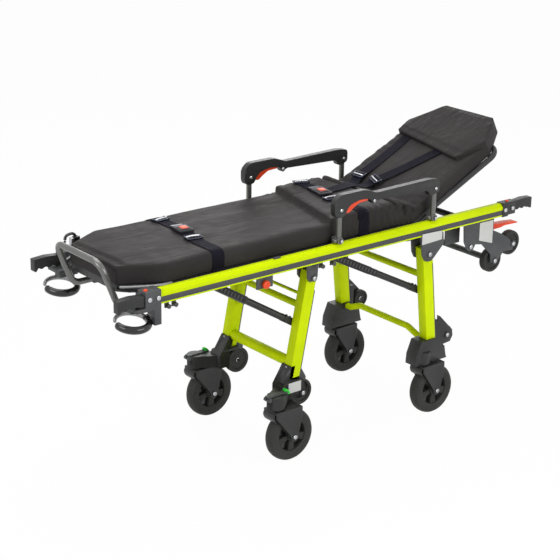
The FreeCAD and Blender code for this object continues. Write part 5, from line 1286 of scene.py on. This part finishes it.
# %% Treads and green tabs
TREAD = [(0.018, 0.007), (0.010, 0.009), (0.002, 0.003), (0.003, -0.005), (0.010, -0.008),
         (0.018, -0.006)]
ROCKER = [(0.008, 0.004), (0.010, 0.002), (0.012, 0.0095), (0.096, 0.0095), (0.096, 0.0135),
          (0.006, 0.0135)]
TAB = [(0.086, 0.012), (0.106, -0.002), (0.111, 0.004), (0.102, 0.018), (0.090, 0.026),
       (0.082, 0.022)]
for side in ("left", "right"):
    node = f"{side}_brake_pedal"
    body = nodes[node]["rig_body"]
    pin = joint_place(f"{node}_press")
    form = bmesh.new()
    tread = softened(around(pin.x, pin.z, TREAD), 0.004)
    for low_y, high_y in ((-0.016, -0.0046), (0.0046, 0.016)):
        plate(form, tread, pin.y + low_y, pin.y + high_y, 0.002)
    block(form, (pin.x + 0.005, pin.y, pin.z - 0.001), (0.005, 0.024, 0.008), 0.002)
    plate(form, around(pin.x, pin.z, ROCKER), pin.y - 0.012, pin.y + 0.012, 0.0012)
    pedal = new_piece(f"{node}_tread", solid(form), "grey_casting", body)
    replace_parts(pedal, node)
    form = bmesh.new()
    plate(form, softened(around(pin.x, pin.z, TAB), 0.005), pin.y - 0.006, pin.y + 0.006, 0.0018)
    new_piece(f"{side}_green_tab", solid(form), "green_plastic", body)
print("pedals shaped")

# %% [markdown]
# ## Release rings
#
# Under each foot handle hangs a ring that is pulled to release the trolley. One side of it is a
# thick black rod bent into a half circle. The other side is a thinner, flatter prong of light
# grey metal, and the two ends leave a mouth between them.

# %% Rings and prongs
RISE = 0.011


def arc_line(middle, radius, start, end):
    """Points of an arc that leans towards one side, with its angles in degrees."""
    flat = arc((0, 0), radius, start, end, 30)
    return [middle + Vector((x, y, y * RISE / radius)) for x, y in flat]


for side in ("left", "right"):
    node = f"{side}_release_ring"
    low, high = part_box(node)
    pin = joint_place(f"{node}_lift")
    body = nodes[node]["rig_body"]
    middle = Vector((low.x + 0.062, (low.y + high.y) / 2, pin.z))
    form = bmesh.new()
    tube_along(form, arc_line(middle, 0.0575, 184, 352), 0.0112, 1.25)
    tube_along(form, [Vector((middle.x + 0.053, middle.y, pin.z)), pin], 0.0085)
    turned(form, [(0.007, -0.0114), (0.009, -0.0105), (0.009, 0.0105), (0.007, 0.0114)],
           pin, (0, 1, 0))
    ring_piece = new_piece(f"{node}_rod", solid(form), "gloss_black", body)
    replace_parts(ring_piece, node)
    form = bmesh.new()
    tube_along(form, arc_line(middle, 0.0560, 2, 150), lambda share: 0.0080 - 0.0020 * share,
               1.25)
    new_piece(f"{node}_prong", solid(form), "light_metal", body)
print("rings bent")

# %% [markdown]
# ## Armrests
#
# An armrest is a deep moulding with a raised end over its trigger. It is drawn as an outline
# from the side, with its corners rounded, and given the thickness of the real one. The trigger
# is a thin curved leaf that the fingers find under the raised end.

# %% Armrests, triggers and their bolts
def side_outline(low, high, shape):
    """Points given as shares of a box, as (x, z) places between two of its corners."""
    return [(low.x + (high.x - low.x) * x, low.z + (high.z - low.z) * z) for x, z in shape]


ARM = [(0, 0.2), (0, 0.72), (0.052, 1), (0.275, 1), (0.330, 0.90), (0.380, 0.76), (0.905, 0.81),
       (1, 0.72), (1, 0.13), (0.905, 0), (0.890, 0.30), (0.388, 0.42), (0.376, 0.28),
       (0.350, 0.28), (0.336, 0.50), (0.300, 0.57), (0.227, 0.60), (0.144, 0.48), (0.110, 0.26),
       (0.090, -0.01), (0.018, -0.01)]
LEAF = [(-0.12, 0.0), (0.06, -0.03), (0.28, 0.40), (0.58, 0.84), (1.08, 0.90), (1.08, 1.08),
        (0.58, 1.22), (0.16, 1.0), (-0.11, 0.50)]
ARM_IN, ARM_OUT = 0.250, 0.274
POST, POST_BOLT, ARM_FOOT = 0.262, 0.281, 0.813
POST_TUBE = [(0.0095, 0.004), (0.0105, 0.006), (0.0105, 0.108), (0.008, 0.110)]
POST_EYE = [(0.011, -0.014), (0.013, -0.012), (0.013, 0.012), (0.011, 0.014)]
for side, way in (("left", 1), ("right", -1)):
    node = f"{side}_armrest"
    body = nodes[node]["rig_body"]
    low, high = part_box(node)
    near, far = sorted((way * ARM_IN, way * ARM_OUT))
    form = bmesh.new()
    plate(form, softened(side_outline(low, high, ARM), 0.013), near, far, 0.0035)
    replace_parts(new_piece(f"{node}_bar", solid(form), "black_plastic", body), node)
    heads = [(low.x + 0.031, 0.928), (low.x + 0.189, 0.936), (high.x - 0.019, 0.928)]
    spots = [((x, way * face, z), (0, way * facing, 0))
             for face, facing in ((ARM_OUT, 1), (ARM_IN, -1)) for x, z in heads]
    bolts(f"{node}_bolts", body, spots, 0.0065)
    node = f"{side}_armrest_trigger"
    low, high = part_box(node)
    form = bmesh.new()
    plate(form, softened(side_outline(low, high, LEAF), 0.006), low.y, high.y, 0.0015)
    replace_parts(new_piece(f"{node}_leaf", solid(form), "orange_plastic",
                          nodes[node]["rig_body"]), node)
    for end in ("foot", "head"):
        node = f"{side}_armrest_{end}_post"
        low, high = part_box(node)
        x = (low.x + high.x) / 2
        body = nodes[node]["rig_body"]
        form = bmesh.new()
        turned(form, POST_TUBE, (x, way * POST, ARM_FOOT), (0, 0, 1))
        turned(form, POST_EYE, (x, way * POST, ARM_FOOT), (0, 1, 0))
        block(form, (x - 0.016, way * (POST - 0.002), ARM_FOOT + 0.001), (0.016, 0.018, 0.012),
              0.003)
        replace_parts(new_piece(f"{node}_round", solid(form), "steel_tube", body), node)
        bolts(f"{node}_bolt", "frame", [((x, way * POST_BOLT, ARM_FOOT), (0, way, 0))], 0.006,
              0.003)
print("armrests shaped")

# %% [markdown]
# ## Small wheels
#
# The guide wheels and the loading wheels are turned in one dark piece. Seen from the side, the
# rim is sunk behind the tyre, and a bright screw shows at each end of the axle.

# %% Rims, tyres and axle screws
RIM = [(0.16, 0.20), (0.70, 0.20), (0.76, 0.03), (0.80, 0.0), (0.92, 0.0), (0.98, 0.08),
       (1.0, 0.2), (1.0, 0.8), (0.98, 0.92), (0.92, 1.0), (0.80, 1.0), (0.76, 0.97),
       (0.70, 0.80), (0.16, 0.80)]
PLATE_FACE = {"foot_guide_wheels": 0.2155, "head_guide_wheels": 0.2705,
              "load_wheels_front": 0.266, "load_wheels_rear": 0.266}
for node, face in PLATE_FACE.items():
    low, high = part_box(node)
    radius = (high.z - low.z) / 2
    width = radius * 0.56 if "load" in node or "foot" in node else radius * 0.66
    middle = ((low.x + high.x) / 2, (low.z + high.z) / 2)
    form = bmesh.new()
    for way in (1, -1):
        turned(form, [(radius * share, width * height) for share, height in RIM],
               (middle[0], way * (high.y - width), middle[1]), (0, way, 0), 48)
    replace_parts(new_piece(f"{node}_turned", solid(form), "tyre", nodes[node]["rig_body"]), node)
    holder = "frame"
    if "guide" in node:
        holder = nodes[node.split("_")[0] + "_leg_castings"]["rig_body"]
    bolts(f"{node}_screws", holder,
          [((middle[0], way * y, middle[1]), (0, way * facing, 0))
           for y, facing in ((face, 1), (high.y - width * 0.8, -1)) for way in (1, -1)],
          0.0078, 0.003)
print("small wheels turned")

# %% [markdown]
# ## Leg trims
#
# A dark strip is let into the rear face of each leg tube, and a rubber stop sits at the lower
# end of each foot leg.

# %% Strips and stops
LEAN = {"foot": math.radians(11.1), "head": math.radians(-6.6)}
STRIP_INSET = 0.020
FACE = 0.0235


def leg_trim(end, length, stop):
    """Strips along the rear faces of a pair of legs, and their stops."""
    node = f"{end}_leg_frame"
    low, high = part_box(node)
    pivot = joint_place(f"{end}_leg_fold")
    turn = Matrix.Translation(pivot) @ Matrix.Rotation(LEAN[end], 4, "Y")
    form = bmesh.new()
    for side in (high.y - STRIP_INSET, low.y + STRIP_INSET):
        spot = turn @ Matrix.Translation((0, side - pivot.y, 0))
        block(form, (FACE, 0, -length / 2 - 0.020), (0.009, 0.0385, length - 0.060), 0.0012, spot)
        if stop:
            wedge = [(FACE, 0.050 - length), (0.062, 0.006 - length), (0.060, -length - 0.007),
                     (FACE, -length - 0.002)]
            plate(form, softened(wedge, 0.004), -0.015, 0.015, 0.002, place=spot)
    new_piece(f"{end}_leg_trim", solid(form), "rail_strip", nodes[node]["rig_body"])


leg_trim("foot", 0.390, True)
leg_trim("head", 0.400, False)
print("leg trims fitted")

# %% [markdown]
# ## Caster wheels
#
# A caster wheel is a soft tyre round a five-spoked centre. The tyre is a turned ring with a
# rounded tread, the centre is a thin glossy web between the spokes, and the hub is nearly as
# wide as the tyre. The windows between the spokes are the hollows that are left on both sides.

# %% Tyres, webs and spokes
TYRE = [(0.061, -0.019), (0.070, -0.0235), (0.083, -0.025), (0.092, -0.0225), (0.098, -0.014),
        (0.100, -0.005), (0.100, 0.005), (0.098, 0.014), (0.092, 0.0225), (0.083, 0.025),
        (0.070, 0.0235), (0.061, 0.019), (0.059, 0.010), (0.059, -0.010), (0.061, -0.019)]
HUB = [(0.014, -0.024), (0.020, -0.021), (0.024, 0.0), (0.020, 0.021), (0.014, 0.024)]
WEB = [(0.008, -0.0035), (0.064, -0.0035), (0.064, 0.0035), (0.008, 0.0035)]
SPOKE = [(0.018, -0.009), (0.063, -0.0165), (0.063, 0.0165), (0.018, 0.009)]
SPOKE_HALF = 0.0165
SPOKES = 5
for side in ("left", "right"):
    for end in ("foot", "head"):
        node = f"{side}_{end}_caster_wheel"
        body = nodes[node]["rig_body"]
        axle = joint_place(f"{side}_{end}_caster_spin")
        tyre_form = bmesh.new()
        turned(tyre_form, TYRE, axle, (0, 1, 0), 72)
        caps = [face for face in tyre_form.faces if len(face.verts) > 4]
        bmesh.ops.delete(tyre_form, geom=caps, context="FACES_ONLY")
        bmesh.ops.remove_doubles(tyre_form, verts=tyre_form.verts, dist=1e-6)
        for number in range(SPOKES):
            turn = Matrix.Rotation(math.tau * (number + 0.25) / SPOKES, 4, "Y")
            plate(tyre_form, SPOKE, -SPOKE_HALF, SPOKE_HALF, 0.003,
                  place=Matrix.Translation(axle) @ turn)
        turned(tyre_form, HUB, axle, (0, 1, 0))
        wheel = new_piece(f"{node}_tyre", solid(tyre_form), "tyre", body)
        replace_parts(wheel, node)
        form = bmesh.new()
        turned(form, WEB, axle, (0, 1, 0), 48)
        new_piece(f"{node}_web", solid(form), "gloss_black", body)
print("caster wheels turned")

# %% [markdown]
# ## Grips
#
# The grips slide out of both ends of the rails. Each is a moulded handle with a rounded top,
# shallow finger grooves underneath and a longer lip at its end, on a bar inside the rail.

# %% Grips
GROOVES = 3.5
GRIP_HALF = 0.0135


def grip(form, start, end, low, high, y):
    """A moulded grip from start to end along x, with grooves in its underside."""
    run = end - start
    under = [(start + run * share,
              low + (high - low) * (0.20 + 0.06 * math.cos(share * math.tau * GROOVES)))
             for share in (number / 28 for number in range(3, 25))]
    outline = ([(start, high - 0.004), (start, low + 0.008)] + under
               + [(start + run * 0.90, low + 0.004), (start + run * 0.93, low), (end, low + 0.002),
                  (end, high - 0.003), (start + run * 0.5, high)])
    plate(form, softened(outline, 0.002, 2), y - GRIP_HALF, y + GRIP_HALF, 0.007, steps=5)


BAR_REACH, BAR_HEIGHT = 0.086, 0.775
GRIPS = {"foot": (-0.872, -0.976, 0.746, 0.795), "head": (0.893, 0.987, 0.756, 0.804)}
for side in ("left", "right"):
    for end, (start, tip, bottom, top) in GRIPS.items():
        node = f"{side}_{end}_handle"
        low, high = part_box(node)
        y = (low.y + high.y) / 2
        form = bmesh.new()
        grip(form, start, tip, bottom, top, y)
        inside = start - math.copysign(BAR_REACH, start)
        block(form, (inside, y, BAR_HEIGHT), (0.176, 0.022, 0.022), 0.002)
        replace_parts(new_piece(f"{node}_grip", solid(form), "black_plastic",
                              nodes[node]["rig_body"]), node)
print("grips moulded")

# %% [markdown]
# ## Bolts and blank plates
#
# More bright points are the bolts of the leg pivots, the load plates and the caster arms.
# Three pale plates, on a leg bracket, a load plate and a caster arm, are left blank.

# %% Bolts and plates
def pair(x, y, z):
    return [((x, way * y, z), (0, way, 0)) for way in (1, -1)]


bolts("leg_pivot_bolts", "frame", pair(0.425, 0.285, 0.675) + pair(-0.097, 0.225, 0.673), 0.0085)
bolts("load_plate_bolts", "frame", pair(0.665, 0.266, 0.652), 0.0085)
bolts("caster_arm_bolts", nodes["foot_leg_castings"]["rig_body"],
      [((x, y, z), (-1, 0, -0.19)) for y in (0.188, -0.188)
       for x, z in ((-0.1905, 0.336), (-0.1940, 0.318))], 0.0055, 0.0035)
PLATES = {
    "bracket_plate": ("frame", -0.2812, [(0.383, 0.762), (0.487, 0.758), (0.487, 0.723),
                                         (0.383, 0.719)]),
    "load_blank_plate": ("frame", -0.2622, [(0.712, 0.739), (0.787, 0.739), (0.787, 0.643),
                                            (0.712, 0.668)]),
    "arm_plate": (nodes["foot_leg_castings"]["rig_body"], -0.2202,
                  [(-0.206, 0.285), (-0.147, 0.285), (-0.147, 0.245), (-0.206, 0.245)]),
}
for name, (body, y, outline) in PLATES.items():
    form = bmesh.new()
    plate(form, softened(outline, 0.002, 3), y - 0.0008, y, 0.0003)
    new_piece(name, solid(form), "pale_plate", body)
print("bolts and plates fitted")

# %% [markdown]
# ## The belt hook
#
# On the foot end of the far rail stands a thick black hook for a loose belt, on a small bright
# block. It takes the place of the plain loop of wire.

# %% Hook
HOOK_Y = 0.262
form = bmesh.new()
hook = [(-0.795, 0.822), (-0.797, 0.840), (-0.803, 0.850), (-0.812, 0.855), (-0.824, 0.854),
        (-0.834, 0.851), (-0.840, 0.845), (-0.842, 0.836), (-0.842, 0.830)]
tube_along(form, [Vector((x, HOOK_Y, z)) for x, z in hook], 0.0055, steps=12)
block(form, (-0.796, HOOK_Y, 0.824), (0.026, 0.018, 0.036), 0.003)
new_piece("belt_hook", solid(form), "gloss_black", "frame")
form = bmesh.new()
block(form, (-0.815, HOOK_Y, 0.824), (0.012, 0.018, 0.032), 0.003)
new_piece("belt_hook_block", solid(form), "bright_bolt", "frame")
print("hook fitted")

# %% [markdown]
# ## Brace channels
#
# Each folding brace runs in a pressed channel with a row of square holes, which save weight. The
# channel is a flat bar along the brace, and the holes are shown by the narrow bridges that stand
# between them. The bar is near-black as painted shade: between the bridges it stands for the dark
# seen through the holes.

# %% Channels
CHANNELS = {"foot": (0.012, 0.250, 0.021), "head": (0.012, 0.290, 0.027)}
HOLE_STEP = 0.017
for end, (start, reach, height) in CHANNELS.items():
    node = f"{end}_brace_tubes"
    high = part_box(node)[1]
    pivot = joint_place(f"{end}_brace_swing")
    axis = next(joint for joint in frame["record"]["behaviour"]["joints"]
                if joint["name"] == f"{end}_brace_slide")["axis"]
    slope = math.atan2(axis[2], -axis[0])
    form, bridges = bmesh.new(), bmesh.new()
    for way in (1, -1):
        place = (Matrix.Translation((pivot.x, way * (high.y + 0.0015), pivot.z))
                 @ Matrix.Rotation(slope, 4, "Y"))
        block(form, ((start + reach) / 2, 0, 0), (reach - start, 0.003, height), 0.0012, place)
        for number in range(int((reach - start) / HOLE_STEP)):
            x = start + 0.010 + HOLE_STEP * number
            block(bridges, (x, way * 0.0016, 0), (0.006, 0.0014, 0.015), 0.0005, place)
    body = nodes[node]["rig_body"]
    # The bar's finish is painted shade, the dark seen through the holes between the bridges.
    new_piece(f"{end}_brace_channels", solid(form), "hole_shade_black", body)
    new_piece(f"{end}_brace_bridges", solid(bridges), "grey_casting", body)
print("channels fitted")

# %% [markdown]
# ## Corners of the deck
#
# At the foot end the deck is narrower than the rails. A light bar bends from each rail to the
# narrow end, over a black gusset that closes the corner.

# %% Corner bars and gussets
CORNER_BAR = [(-0.735, 0.2335), (-0.770, 0.2315), (-0.805, 0.222), (-0.840, 0.205),
              (-0.872, 0.186), (-0.895, 0.170)]
GUSSET = [(-0.735, 0.236), (-0.735, 0.190), (-0.880, 0.120), (-0.898, 0.160), (-0.872, 0.190),
          (-0.805, 0.228)]
CORNER_HEIGHT = 0.797
SHEET_UNDER, SHEET_OVER = 0.778, 0.782
bars, gussets = bmesh.new(), bmesh.new()
lying = Matrix.Rotation(math.radians(90), 4, "X")
for way in (1, -1):
    bar = [Vector((x, way * y, CORNER_HEIGHT)) for x, y in CORNER_BAR]
    tube_along(bars, bar, 0.0055, 0.8, steps=12)
    plate(gussets, [(x, way * y) for x, y in GUSSET], SHEET_UNDER, SHEET_OVER, 0.0008, place=lying)
new_piece("deck_corner_bars", solid(bars), "light_metal", "frame")
new_piece("deck_gussets", solid(gussets), "dark_sheet", "frame")
print("corners closed")

# %% [markdown]
# ## The size
#
# The size of the dressed model is read here and printed.

# %% Print the size
low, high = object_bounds()
print("size", [round(b - a, 3) for a, b in zip(low, high)])
